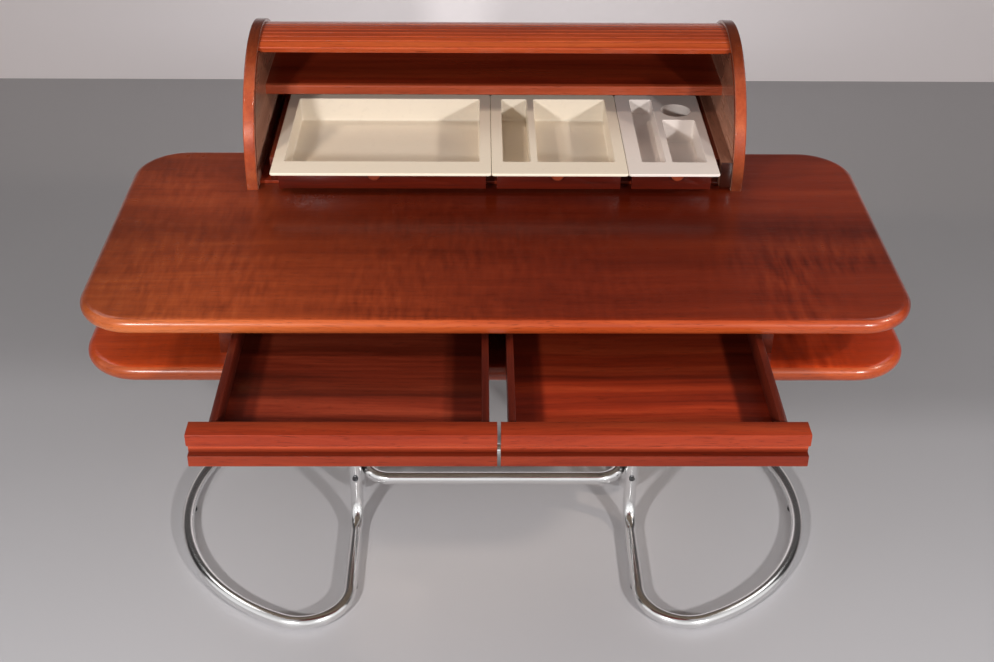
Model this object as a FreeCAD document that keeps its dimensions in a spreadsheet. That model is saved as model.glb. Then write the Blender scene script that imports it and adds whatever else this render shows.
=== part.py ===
import FreeCAD, Part
import math
import os
import Sketcher

# Driving dimensions, in millimetres, degrees and counts. Each is one aliased cell of the sheet.
# Origin: on the floor under the centre of the desk top. +X to the sitter's right, +Y to the back.
SIZES = {
    # Two equal slabs with full round edges, one above the other
    "top_width": 1560,
    "top_depth": 700,
    "slab_thickness": 33,
    "slab_corner_radius": 109,
    "slab_edge_round_share": 0.49,
    "desk_height": 735,
    "slab_gap": 72,
    # Drawer case between the slabs
    "case_half_width": 520,
    "case_board": 24,
    "case_front_setback": 54,
    "case_back_setback": 24,
    "divider_half_width": 13.4,
    "divider_setback": 114,
    # Drawers: profiled front, two sides, back and bottom
    "drawer_front_setback": 12,
    "drawer_pull": 303,
    "front_gap_half": 3,
    "front_slab_gap": 2,
    "front_thickness": 39,
    "nose_height": 27,
    "nose_underside_round": 8,
    "front_edge_round": 2,
    "finger_groove_depth": 12,
    "lip_height": 24,
    "lip_bottom_round": 5,
    "lip_top_round": 1.5,
    "box_length": 470,
    "box_board": 13,
    "box_inner_half_gap": 16,
    "box_outer_clearance": 8,
    "box_top_drop": 6,
    "box_underside_rise": 10,
    "bottom_thickness": 6,
    "bottom_rise": 6,
    "bottom_groove_depth": 5,
    "groove_clearance": 0.3,
    "runner_height": 12,
    "runner_rise": 24,
    "runner_groove_depth": 6,
    "runner_clearance": 0.3,
    # Half-round roll top that stands on the desk top and overhangs its back edge
    "arch_radius": 241,
    "arch_centre_back": 400,
    "arch_foot": 30,
    "tray_row_end_gap": 34.5,
    "arch_board": 24,
    "arch_edge_round": 3,
    "track_depth": 8,
    "track_clearance": 0.4,
    "floor_board_thickness": 7,
    "floor_board_setback": 31,
    "shelf_front": 373,
    "shelf_rise": 123,
    "shelf_thickness": 22,
    "shelf_edge_round": 4,
    "shell_thickness": 5,
    "shell_track_gap": 7,
    "shell_angle": 70,
    # Tambour: a lead rail and narrow slats on a canvas, sliding in curved tracks
    "tambour_inset": 7,
    "slat_thickness": 9,
    "slat_width": 15.8,
    "slat_round": 2.5,
    "slat_count": 24,
    "slat_end_clearance": 1,
    "lead_rail_width": 23.6,
    "lead_rail_thickness": 14,
    "lead_rail_side_gap": 3,
    "lead_rail_round": 3.5,
    "lead_rail_angle": 71,
    "slat_pitch_angle": 4.125,
    "rail_pitch_angle": 6.1,
    "canvas_thickness": 1,
    "canvas_side_gap": 2,
    # Three moulded trays that slide under the tambour like shallow drawers
    "tray_front": 107,
    "tray_depth": 399,
    "tray_rise": 66,
    "tray_gap": 1,
    "tray_large_width": 457,
    "tray_medium_width": 283,
    "tray_small_width": 189,
    "tray_corner_radius": 6,
    "tray_sheet": 3,
    "tray_rim_height": 5,
    "tray_rim_round": 2.4,
    "tray_front_flange": 57,
    "tray_back_flange": 26,
    "tray_side_flange": 24,
    "recess_depth": 54,
    "recess_corner_radius": 5,
    "recess_floor_round": 4,
    "recess_mouth_round": 1.6,
    "medium_narrow_width": 58,
    "medium_divider": 15,
    "pen_slot_inset": 32,
    "pen_slot_width": 50,
    "pen_slot_depth": 34,
    "small_divider": 14,
    "small_box_length": 208,
    "small_box_width": 72,
    "cup_diameter": 65,
    "cup_depth": 44,
    "cup_gap": 18,
    "cup_clearance": 0.2,
    "cup_floor_round": 8,
    "tray_rail_width": 20,
    "tray_rail_clearance": 0.3,
    "tray_rail_back_gap": 14,
    "filler_front_inset": 3,
    "filler_drop": 1,
    # A wooden front under each tray's flange, and a knob held by one screw through both walls
    "tray_board_thickness": 9,
    "tray_board_floor_gap": 1,
    "tray_board_side_gap": 1,
    "knob_diameter": 28,
    "knob_length": 14,
    "knob_round": 4,
    "knob_rise": 47,
    "large_knob_shift": -16.5,
    "medium_knob_shift": -3.5,
    "small_knob_shift": 11,
    "knob_screw_diameter": 4,
    "knob_screw_length": 18,
    "screw_clearance": 0.4,
    "knob_screw_head_diameter": 8,
    "knob_screw_head_height": 2.4,
    # Chromed tube base: one bent tube a side and a stretcher ring between the legs
    "tube_diameter": 28,
    "tube_wall": 2,
    "glide_lift": 4,
    "base_forward": 13,
    "leg_inset": 473,
    "leg_half_pitch": 37,
    "leg_bend_radius": 63,
    "loop_corner_radius": 97,
    "loop_radius": 397,
    "loop_centre_inset": 11,
    "ring_rise": 135,
    "ring_half_depth": 51,
    "spacer_width": 20,
    "spacer_height": 28,
    "leg_bolt_diameter": 8,
    "leg_bolt_head_diameter": 13,
    "leg_bolt_head_height": 4,
    "nut_sides": 6,
    "nut_width": 13,
    "nut_height": 6.5,
    "ring_bolt_reach": 5,
    "head_seat_gap": 0.2,
    "bolt_clearance": 0.4,
    "plate_thickness": 5,
    "plate_width": 84,
    "plate_depth": 176,
    "plate_corner_radius": 12,
    "plate_screw_inset": 13,
    "plate_screw_diameter": 5,
    "plate_screw_length": 24,
    "plate_screw_head_diameter": 9,
    "plate_screw_head_height": 3,
    "glide_diameter": 26,
    "glide_height": 8,
    "glide_corner_gap": 24,
    # Amount by which every cutting tool overruns what it cuts
    "overrun": 2,
}

doc = FreeCAD.newDocument("captains_desk")
sheet = doc.addObject("Spreadsheet::Sheet", "Sizes")
for row, (alias, number) in enumerate(SIZES.items(), 1):
    sheet.set(f"A{row}", alias)
    sheet.set(f"B{row}", str(number))
    sheet.setAlias(f"B{row}", alias)
doc.recompute()


class Size:
    """A number read from the sheet, with the expression that gives it."""

    def __init__(self, value, text):
        self.value = value
        self.text = text

    def __add__(self, other):
        other = as_size(other)
        return Size(self.value + other.value, f"({self.text} + {other.text})")

    def __sub__(self, other):
        other = as_size(other)
        return Size(self.value - other.value, f"({self.text} - {other.text})")

    def __mul__(self, other):
        other = as_size(other)
        return Size(self.value * other.value, f"({self.text} * {other.text})")

    def __truediv__(self, other):
        other = as_size(other)
        return Size(self.value / other.value, f"({self.text} / {other.text})")

    def __neg__(self):
        return Size(-self.value, f"(0 - {self.text})")


def as_size(amount):
    return amount if isinstance(amount, Size) else Size(amount, str(amount))


def square_root(amount):
    return Size(math.sqrt(amount.value), f"sqrt({amount.text})")


class Sizes:
    """The sheet's aliases as attributes."""

    def __getattr__(self, alias):
        return Size(float(sheet.get(alias)), f"Sizes.{alias}")


size = Sizes()
ZERO = Size(0, "0")
nodes = []


def bind(thing, prop, amount):
    thing.setExpression(prop, as_size(amount).text)


def keep(thing, label):
    """Make a finished object one of the sub-parts that are written out."""
    thing.Label = label
    nodes.append(thing)
    return thing


# Solids from primitives and booleans

def board(name, x, y, z):
    """A box given by its (low, high) limits along each axis."""
    box = doc.addObject("Part::Box", name)
    for prop, axis, (low, high) in zip(("Length", "Width", "Height"), "xyz", (x, y, z)):
        bind(box, prop, as_size(high) - low)
        bind(box, f"Placement.Base.{axis}", low)
    return box


TURNS = {
    "x": FreeCAD.Rotation(FreeCAD.Vector(1, 1, 1), 120),
    "y": FreeCAD.Rotation(FreeCAD.Vector(1, 0, 0), -90),
    "z": FreeCAD.Rotation(),
}


def rod(name, axis, start, diameter, length):
    """A cylinder that runs from its start point along +X, +Y or +Z."""
    cylinder = doc.addObject("Part::Cylinder", name)
    cylinder.Placement = FreeCAD.Placement(FreeCAD.Vector(), TURNS[axis])
    bind(cylinder, "Radius", diameter / 2)
    bind(cylinder, "Height", length)
    for letter, place in zip("xyz", start):
        bind(cylinder, f"Placement.Base.{letter}", place)
    return cylinder


def cut(name, base, *tools):
    """The base with every tool taken out of it, one after the other."""
    for number, tool in enumerate(tools, 1):
        result = doc.addObject("Part::Cut", f"{name}_cut_{number}")
        result.Base = base
        result.Tool = tool
        base = result
    return base


def join(name, *pieces):
    fuse = doc.addObject("Part::MultiFuse", f"{name}_join")
    fuse.Shapes = list(pieces)
    return fuse


def group(name, pieces):
    """Like pieces that stay separate solids in one node."""
    compound = doc.addObject("Part::Compound", f"{name}_group")
    compound.Links = list(pieces)
    return compound


# Solids from sketches

def new_body(name):
    return doc.addObject("PartDesign::Body", name)


def origin_feature(body, role):
    return next(item for item in body.Origin.OriginFeatures if item.Role == role)


def sketch_on(body, role, name, offset):
    sketch = body.newObject("Sketcher::SketchObject", name)
    sketch.AttachmentSupport = [(origin_feature(body, role), "")]
    sketch.MapMode = "FlatFace"
    bind(sketch, "AttachmentOffset.Base.z", offset)
    return sketch


def pin_point(sketch, edge, end, across, up):
    """Hold one end of an edge at bound coordinates of the sketch."""
    for kind, amount in (("DistanceX", across), ("DistanceY", up)):
        number = sketch.addConstraint(Sketcher.Constraint(kind, -1, 1, edge, end, amount.value))
        bind(sketch, f"Constraints[{number}]", amount)


def outline(sketch, corners):
    """A closed outline of upright and level edges; corners are (across, up, radius)."""
    corners = [tuple(as_size(part) for part in corner) for corner in corners]
    count = len(corners)
    headings = []
    for index, (across, up, radius) in enumerate(corners):
        after = corners[(index + 1) % count]
        step = FreeCAD.Vector(after[0].value - across.value, after[1].value - up.value)
        step.normalize()
        headings.append((round(step.x), round(step.y)))
    starts = []
    ends = []
    for index, (across, up, radius) in enumerate(corners):
        into = headings[index - 1]
        away = headings[index]
        ends.append((across - radius * into[0], up - radius * into[1]))
        starts.append((across + radius * away[0], up + radius * away[1]))
    lines = []
    for index in range(count):
        start = FreeCAD.Vector(starts[index][0].value, starts[index][1].value)
        end = ends[(index + 1) % count]
        end = FreeCAD.Vector(end[0].value, end[1].value)
        lines.append(sketch.addGeometry(Part.LineSegment(start, end)))
        pin_point(sketch, lines[index], 1, *starts[index])
    for index, (across, up, radius) in enumerate(corners):
        before = lines[index - 1]
        if radius.value == 0:
            sketch.addConstraint(Sketcher.Constraint("Coincident", before, 2, lines[index], 1))
            continue
        pin_point(sketch, before, 2, *ends[index])
        round_corner(sketch, before, lines[index], corners[index], headings[index - 1], headings[index])


def round_corner(sketch, before, after, corner, into, away):
    """A quarter arc between two edges that stop short of their shared corner."""
    across, up, radius = (part.value for part in corner)
    centre = FreeCAD.Vector(across + radius * (away[0] - into[0]), up + radius * (away[1] - into[1]))
    left_turn = into[0] * away[1] - into[1] * away[0] > 0
    first = math.atan2(-away[1], -away[0])
    last = math.atan2(into[1], into[0])
    ring = Part.Circle(centre, FreeCAD.Vector(0, 0, 1), radius)
    if not left_turn:
        first, last = last, first
    arc = sketch.addGeometry(Part.ArcOfCircle(ring, first, last))
    near, far = (1, 2) if left_turn else (2, 1)
    sketch.addConstraint(Sketcher.Constraint("Coincident", arc, near, before, 2))
    sketch.addConstraint(Sketcher.Constraint("Coincident", arc, far, after, 1))
    number = sketch.addConstraint(Sketcher.Constraint("Radius", arc, radius))
    bind(sketch, f"Constraints[{number}]", corner[2])


def rectangle(across, up, radius):
    return [
        (across[0], up[0], radius),
        (across[1], up[0], radius),
        (across[1], up[1], radius),
        (across[0], up[1], radius),
    ]


def circle(sketch, across, up, diameter):
    across, up = as_size(across), as_size(up)
    centre = FreeCAD.Vector(across.value, up.value)
    ring = Part.Circle(centre, FreeCAD.Vector(0, 0, 1), diameter.value / 2)
    edge = sketch.addGeometry(ring)
    pin_point(sketch, edge, 3, across, up)
    number = sketch.addConstraint(Sketcher.Constraint("Diameter", edge, diameter.value))
    bind(sketch, f"Constraints[{number}]", diameter)


def feature(body, kind, sketch, length, reverse=False):
    """A Pad or a Pocket of one sketch. A Pocket has to take something away."""
    doc.recompute()
    before = body.Shape.Volume if body.Shape and not body.Shape.isNull() else 0
    solid = body.newObject(f"PartDesign::{kind}", f"{sketch.Name}_{kind.lower()}")
    solid.Profile = sketch
    bind(solid, "Length", length)
    solid.Reversed = reverse
    doc.recompute()
    if kind == "Pocket" and not solid.Shape.Volume < before:
        raise RuntimeError(f"{solid.Name} cuts nothing")
    return solid


def round_edges(body, base, name, wanted, radius):
    """Round the edges of the base feature that the test picks out."""
    doc.recompute()
    edges = [f"Edge{number}" for number, edge in enumerate(base.Shape.Edges, 1) if wanted(edge)]
    if not edges:
        raise RuntimeError(f"{name} has no edge to round")
    fillet = body.newObject("PartDesign::Fillet", name)
    fillet.Base = (base, edges)
    bind(fillet, "Radius", radius)
    return fillet


def level_at(height):
    """A test for edges that lie level at one height."""
    return lambda edge: edge.BoundBox.ZLength < TOUCH and abs(edge.BoundBox.ZMin - height.value) < TOUCH


# Largest distance at which two coordinates count as the same, as a share of the slab thickness
TOUCH_share = 1e-4
TOUCH = size.slab_thickness.value * TOUCH_share


# Two slabs

half_width = size.top_width / 2
half_depth = size.top_depth / 2
top_underside = size.desk_height - size.slab_thickness
lower_top = top_underside - size.slab_gap
lower_underside = lower_top - size.slab_thickness
base_centre = -size.base_forward
leg_half_span = half_width - size.leg_inset

plate_limits_y = (base_centre - size.plate_depth / 2, base_centre + size.plate_depth / 2)
plate_screw_y = (plate_limits_y[0] + size.plate_screw_inset, plate_limits_y[1] - size.plate_screw_inset)


def plate_limits_x(side):
    centre = leg_half_span * side
    return (centre - size.plate_width / 2, centre + size.plate_width / 2)


def plate_screw_points():
    """Plan position of each screw that holds a leg plate to the lower slab."""
    for side in (-1, 1):
        low, high = plate_limits_x(side)
        for across in (low + size.plate_screw_inset, high - size.plate_screw_inset):
            for along in plate_screw_y:
                yield across, along


def slab(name, underside, pilot_holes):
    body = new_body(name)
    sketch = sketch_on(body, "XY_Plane", f"{name}_outline", underside)
    limits = rectangle((-half_width, half_width), (-half_depth, half_depth), size.slab_corner_radius)
    outline(sketch, limits)
    pad = feature(body, "Pad", sketch, size.slab_thickness)
    round_edges(
        body, pad, f"{name}_edge",
        lambda edge: edge.BoundBox.ZLength < TOUCH,
        size.slab_thickness * size.slab_edge_round_share,
    )
    if pilot_holes:
        holes = sketch_on(body, "XY_Plane", f"{name}_pilots", underside)
        for across, along in plate_screw_points():
            circle(holes, across, along, size.plate_screw_diameter + size.screw_clearance)
        depth = size.plate_screw_length - size.plate_thickness + size.screw_clearance
        feature(body, "Pocket", holes, depth, reverse=True)
    keep(body, name)


slab("desktop", top_underside, pilot_holes=False)
slab("lower_slab", lower_underside, pilot_holes=True)


# Drawer case

case_inner = size.case_half_width - size.case_board
case_front = -half_depth + size.case_front_setback
case_back = half_depth - size.case_back_setback
case_height = (lower_top, top_underside)
divider_front = -half_depth + size.divider_setback

for side, word in ((-1, "left"), (1, "right")):
    faces = (size.case_half_width * side, case_inner * side)
    limits = (faces[0], faces[1]) if side < 0 else (faces[1], faces[0])
    keep(board(f"case_side_{word}", limits, (case_front, case_back), case_height), f"case_side_{word}")

back_limits = (case_back - size.case_board, case_back)
keep(board("case_back", (-case_inner, case_inner), back_limits, case_height), "case_back")
divider_limits = (-size.divider_half_width, size.divider_half_width)
divider = board("centre_divider", divider_limits, (divider_front, back_limits[0]), case_height)
keep(divider, "centre_divider")


# Drawers, shown pulled out

front_low = lower_top + size.front_slab_gap
front_high = top_underside - size.front_slab_gap
front_face = -half_depth + size.drawer_front_setback - size.drawer_pull
front_inside = front_face + size.front_thickness
groove_face = front_face + size.finger_groove_depth
box_back = front_inside + size.box_length
box_low = lower_top + size.box_underside_rise
box_high = front_high - size.box_top_drop
bottom_low = box_low + size.bottom_rise
bottom_high = bottom_low + size.bottom_thickness
runner_low = box_low + size.runner_rise
runner_high = runner_low + size.runner_height
side_outer_face = case_inner - size.box_outer_clearance
nose_underside = front_high - size.nose_height
lip_top = front_low + size.lip_height
groove_spare = size.groove_clearance


def mirrored(side, low, high):
    """Limits along X on the right side, or their mirror image on the left."""
    return (low, high) if side > 0 else (-high, -low)


def drawer(side, word):
    front_x = mirrored(side, size.front_gap_half, size.case_half_width)
    profile_corners = [
        (front_face, front_low, size.lip_bottom_round),
        (front_inside, front_low, 0),
        (front_inside, front_high, size.front_edge_round),
        (front_face, front_high, size.front_edge_round),
        (front_face, nose_underside, size.nose_underside_round),
        (groove_face, nose_underside, 0),
        (groove_face, lip_top, 0),
        (front_face, lip_top, size.lip_top_round),
    ]
    name = f"{word}_drawer"
    front = new_body(f"{name}_front")
    profile = sketch_on(front, "YZ_Plane", f"{name}_front_profile", front_x[0])
    outline(profile, profile_corners)
    feature(front, "Pad", profile, front_x[1] - front_x[0])
    bottom_slot = sketch_on(front, "YZ_Plane", f"{name}_front_slot", front_x[0])
    slot_y = (front_inside - size.bottom_groove_depth - groove_spare, front_inside + size.overrun)
    slot_z = (bottom_low - groove_spare, bottom_high + groove_spare)
    outline(bottom_slot, rectangle(slot_y, slot_z, 0))
    feature(front, "Pocket", bottom_slot, front_x[1] - front_x[0], reverse=True)
    keep(front, f"{name}_front")

    boards = {
        "inner": (size.box_inner_half_gap, size.box_inner_half_gap + size.box_board),
        "outer": (side_outer_face - size.box_board, side_outer_face),
    }
    long_y = (front_inside - size.overrun, box_back + size.overrun)
    for place, (near, far) in boards.items():
        label = f"{name}_{place}_side"
        plank_limits = (mirrored(side, near, far), (front_inside, box_back), (box_low, box_high))
        plank = board(f"{label}_plank", *plank_limits)
        if place == "inner":
            slot_x = (far - size.bottom_groove_depth - groove_spare, far + size.overrun)
            track_x = (near - size.overrun, near + size.runner_groove_depth)
        else:
            slot_x = (near - size.overrun, near + size.bottom_groove_depth + groove_spare)
            track_x = (far - size.runner_groove_depth, far + size.overrun)
        slot = board(f"{label}_slot", mirrored(side, *slot_x), long_y, slot_z)
        track_z = (runner_low - size.runner_clearance, runner_high + size.runner_clearance)
        track = board(f"{label}_track", mirrored(side, *track_x), long_y, track_z)
        keep(cut(label, plank, slot, track), label)

    inside = (boards["inner"][1], boards["outer"][0])
    back_y = (box_back - size.box_board, box_back)
    back_z = (bottom_high + groove_spare, box_high)
    keep(board(f"{name}_back", mirrored(side, *inside), back_y, back_z), f"{name}_back")
    bottom_x = (inside[0] - size.bottom_groove_depth, inside[1] + size.bottom_groove_depth)
    bottom_y = (front_inside - size.bottom_groove_depth, box_back)
    panel = board(f"{name}_bottom", mirrored(side, *bottom_x), bottom_y, (bottom_low, bottom_high))
    keep(panel, f"{name}_bottom")

    inner_tip = size.box_inner_half_gap + size.runner_groove_depth - size.runner_clearance
    outer_tip = side_outer_face - size.runner_groove_depth + size.runner_clearance
    runners = {
        "inner": ((size.divider_half_width, inner_tip), (divider_front, back_limits[0])),
        "outer": ((outer_tip, case_inner), (case_front, back_limits[0])),
    }
    for place, (across, along) in runners.items():
        label = f"{word}_runner_{place}"
        keep(board(label, mirrored(side, *across), along, (runner_low, runner_high)), label)


for side, word in ((-1, "left"), (1, "right")):
    drawer(side, word)


# Roll top: half-round sides with a curved track, floor board, shelf and curved back

arch_y = size.arch_centre_back
arch_z = size.desk_height + size.arch_foot
arch_front = arch_y - size.arch_radius
row_width = size.tray_large_width + size.tray_medium_width + size.tray_small_width + size.tray_gap * 2
arch_inner = row_width / 2 + size.tray_row_end_gap
arch_outer = arch_inner + size.arch_board
slat_outer = size.arch_radius - size.tambour_inset
slat_inner = slat_outer - size.slat_thickness
canvas_inner = slat_inner - size.canvas_thickness
shell_outer = canvas_inner - size.shell_track_gap
shell_inner = shell_outer - size.shell_thickness
board_top = size.desk_height + size.floor_board_thickness


def arch_outline(sketch):
    """Upright feet below a half circle."""
    left = arch_y - size.arch_radius
    right = arch_y + size.arch_radius
    points = [
        (left, arch_z),
        (left, size.desk_height),
        (right, size.desk_height),
        (right, arch_z),
    ]
    lines = []
    for (start, end) in zip(points, points[1:]):
        first = FreeCAD.Vector(start[0].value, start[1].value)
        last = FreeCAD.Vector(end[0].value, end[1].value)
        lines.append(sketch.addGeometry(Part.LineSegment(first, last)))
    for line, start in zip(lines, points):
        pin_point(sketch, line, 1, *start)
    pin_point(sketch, lines[-1], 2, *points[-1])
    for before, after in zip(lines, lines[1:]):
        sketch.addConstraint(Sketcher.Constraint("Coincident", before, 2, after, 1))
    centre = FreeCAD.Vector(arch_y.value, arch_z.value)
    ring = Part.Circle(centre, FreeCAD.Vector(0, 0, 1), size.arch_radius.value)
    arc = sketch.addGeometry(Part.ArcOfCircle(ring, 0, math.pi))
    sketch.addConstraint(Sketcher.Constraint("Coincident", arc, 1, lines[-1], 2))
    sketch.addConstraint(Sketcher.Constraint("Tangent", arc, 2, lines[0], 1))


def arch_side(side, word):
    name = f"rolltop_side_{word}"
    faces = mirrored(side, arch_inner, arch_outer)
    body = new_body(name)
    sketch = sketch_on(body, "YZ_Plane", f"{name}_outline", faces[0])
    arch_outline(sketch)
    pad = feature(body, "Pad", sketch, size.arch_board)

    def on_rim(edge):
        level = edge.BoundBox.ZLength < TOUCH and abs(edge.BoundBox.ZMin - size.desk_height.value) < TOUCH
        return edge.BoundBox.XLength < TOUCH and not level

    round_edges(body, pad, f"{name}_rim", on_rim, size.arch_edge_round)
    track = sketch_on(body, "YZ_Plane", f"{name}_track", arch_inner * side)
    circle(track, arch_y, arch_z, (slat_outer + size.track_clearance) * 2)
    circle(track, arch_y, arch_z, (canvas_inner - size.track_clearance) * 2)
    feature(body, "Pocket", track, size.track_depth, reverse=side > 0)
    keep(body, name)


for side, word in ((-1, "left"), (1, "right")):
    arch_side(side, word)

span = (-arch_inner, arch_inner)
floor_front = arch_front + size.floor_board_setback
floor_y = (floor_front, arch_y + shell_outer)
keep(board("rolltop_floor", span, floor_y, (size.desk_height, board_top)), "rolltop_floor")


def arc_sheet(name, across, outer, inner, start_angle, angle):
    """A sheet bent about the arch axis, from its start angle above the level at the back."""
    turn = FreeCAD.Rotation(FreeCAD.Vector(1, 0, 0), start_angle.value) * TURNS["x"]
    pieces = []
    for word, radius in (("outer", outer), ("inner", inner)):
        sector = rod(f"{name}_{word}", "x", (across[0], arch_y, arch_z), radius * 2, across[1] - across[0])
        sector.Placement.Rotation = turn
        bind(sector, "Angle", angle)
        pieces.append(sector)
    return cut(name, *pieces)


bent = arc_sheet("rolltop_back_bend", span, shell_outer, shell_inner, ZERO, size.shell_angle)
foot_y = (arch_y + shell_inner, arch_y + shell_outer)
upright = board("rolltop_back_foot", span, foot_y, (board_top, arch_z))
keep(join("rolltop_back", bent, upright), "rolltop_back")

shelf_low = size.desk_height + size.shelf_rise
shelf_high = shelf_low + size.shelf_thickness
shelf_reach = shelf_high - arch_z
shelf_back = arch_y + square_root(shell_inner * shell_inner - shelf_reach * shelf_reach)
shelf = new_body("rolltop_shelf")
shelf_sketch = sketch_on(shelf, "YZ_Plane", "rolltop_shelf_section", -arch_inner)
shelf_corners = [
    (size.shelf_front, shelf_low, size.shelf_edge_round),
    (shelf_back, shelf_low, 0),
    (shelf_back, shelf_high, 0),
    (size.shelf_front, shelf_high, size.shelf_edge_round),
]
outline(shelf_sketch, shelf_corners)
feature(shelf, "Pad", shelf_sketch, arch_inner * 2)
keep(shelf, "rolltop_shelf")


# Tambour, shown rolled back: each section is drawn at the crown and turned about the arch axis

def crown_body(name, angle_from_crown):
    """A body whose origin lies on the arch axis, turned by an angle towards the front."""
    body = new_body(name)
    body.Placement = FreeCAD.Placement(FreeCAD.Vector(), FreeCAD.Rotation(FreeCAD.Vector(1, 0, 0), 1))
    bind(body, "Placement.Base.y", arch_y)
    bind(body, "Placement.Base.z", arch_z)
    bind(body, "Placement.Rotation.Angle", angle_from_crown)
    return body


def crown_section(body, name, half_length, half_breadth, low, high, radii):
    """A bar along X, its section rounded by one radius below and another above."""
    sketch = sketch_on(body, "YZ_Plane", name, -half_length)
    corners = [
        (-half_breadth, low, radii[0]),
        (half_breadth, low, radii[0]),
        (half_breadth, high, radii[1]),
        (-half_breadth, high, radii[1]),
    ]
    outline(sketch, corners)
    return feature(body, "Pad", sketch, half_length * 2)


RIGHT_ANGLE = 90
tongue_half = arch_inner + size.track_depth - size.slat_end_clearance
lead_turn = as_size(RIGHT_ANGLE) - size.lead_rail_angle - size.rail_pitch_angle / 2
lead = crown_body("tambour_lead_rail", lead_turn)
lead_half = size.lead_rail_width / 2
lead_low = slat_outer - size.lead_rail_thickness
main_half = arch_inner - size.lead_rail_side_gap
lead_radii = (size.slat_round, size.lead_rail_round)
crown_section(lead, "lead_rail_main", main_half, lead_half, lead_low, slat_outer, lead_radii)
tongue_radii = (ZERO, size.lead_rail_round)
crown_section(lead, "lead_rail_tongue", tongue_half, lead_half, slat_inner, slat_outer, tongue_radii)
keep(lead, "tambour_lead_rail")

slat_turn = as_size(RIGHT_ANGLE) - size.lead_rail_angle - size.rail_pitch_angle - size.slat_pitch_angle / 2
slats = crown_body("tambour_slats", slat_turn)
slat_radii = (ZERO, size.slat_round)
slat_half = size.slat_width / 2
first_slat = crown_section(slats, "slat", tongue_half, slat_half, slat_inner, slat_outer, slat_radii)
pattern = slats.newObject("PartDesign::PolarPattern", "slat_pattern")
pattern.Originals = [first_slat]
pattern.Axis = (origin_feature(slats, "X_Axis"), [""])
pattern.Reversed = True
pattern.Occurrences = int(size.slat_count.value)
bind(pattern, "Angle", size.slat_pitch_angle * (size.slat_count - 1))
slats.Tip = pattern
keep(slats, "tambour_slats")

canvas_half = arch_inner - size.canvas_side_gap
canvas_angle = size.slat_pitch_angle * size.slat_count
STRAIGHT_ANGLE = 180
canvas_end = as_size(STRAIGHT_ANGLE) - size.lead_rail_angle - size.rail_pitch_angle - canvas_angle
canvas_x = (-canvas_half, canvas_half)
canvas = arc_sheet("tambour_canvas", canvas_x, slat_inner, canvas_inner, canvas_end, canvas_angle)
keep(canvas, "tambour_canvas")


# Moulded trays, each with a rim turned down at the front and sides, its recesses, a wooden front and a knob

tray_top = size.desk_height + size.tray_rise
tray_y = (size.tray_front, size.tray_front + size.tray_depth)
recess_y = (tray_y[0] + size.tray_front_flange, tray_y[1] - size.tray_back_flange)
sheet_low = tray_top - size.tray_sheet
rim_low = tray_top - size.tray_rim_height
wall_front = recess_y[0] - size.tray_sheet
board_face = wall_front - size.tray_board_thickness
half_rail = size.tray_rail_width / 2
knob_z = size.desk_height + size.knob_rise
knob_hole = size.knob_screw_diameter + size.screw_clearance
row_left = -(row_width / 2)


def grown(limits, amount):
    return (limits[0] - amount, limits[1] + amount)


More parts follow.
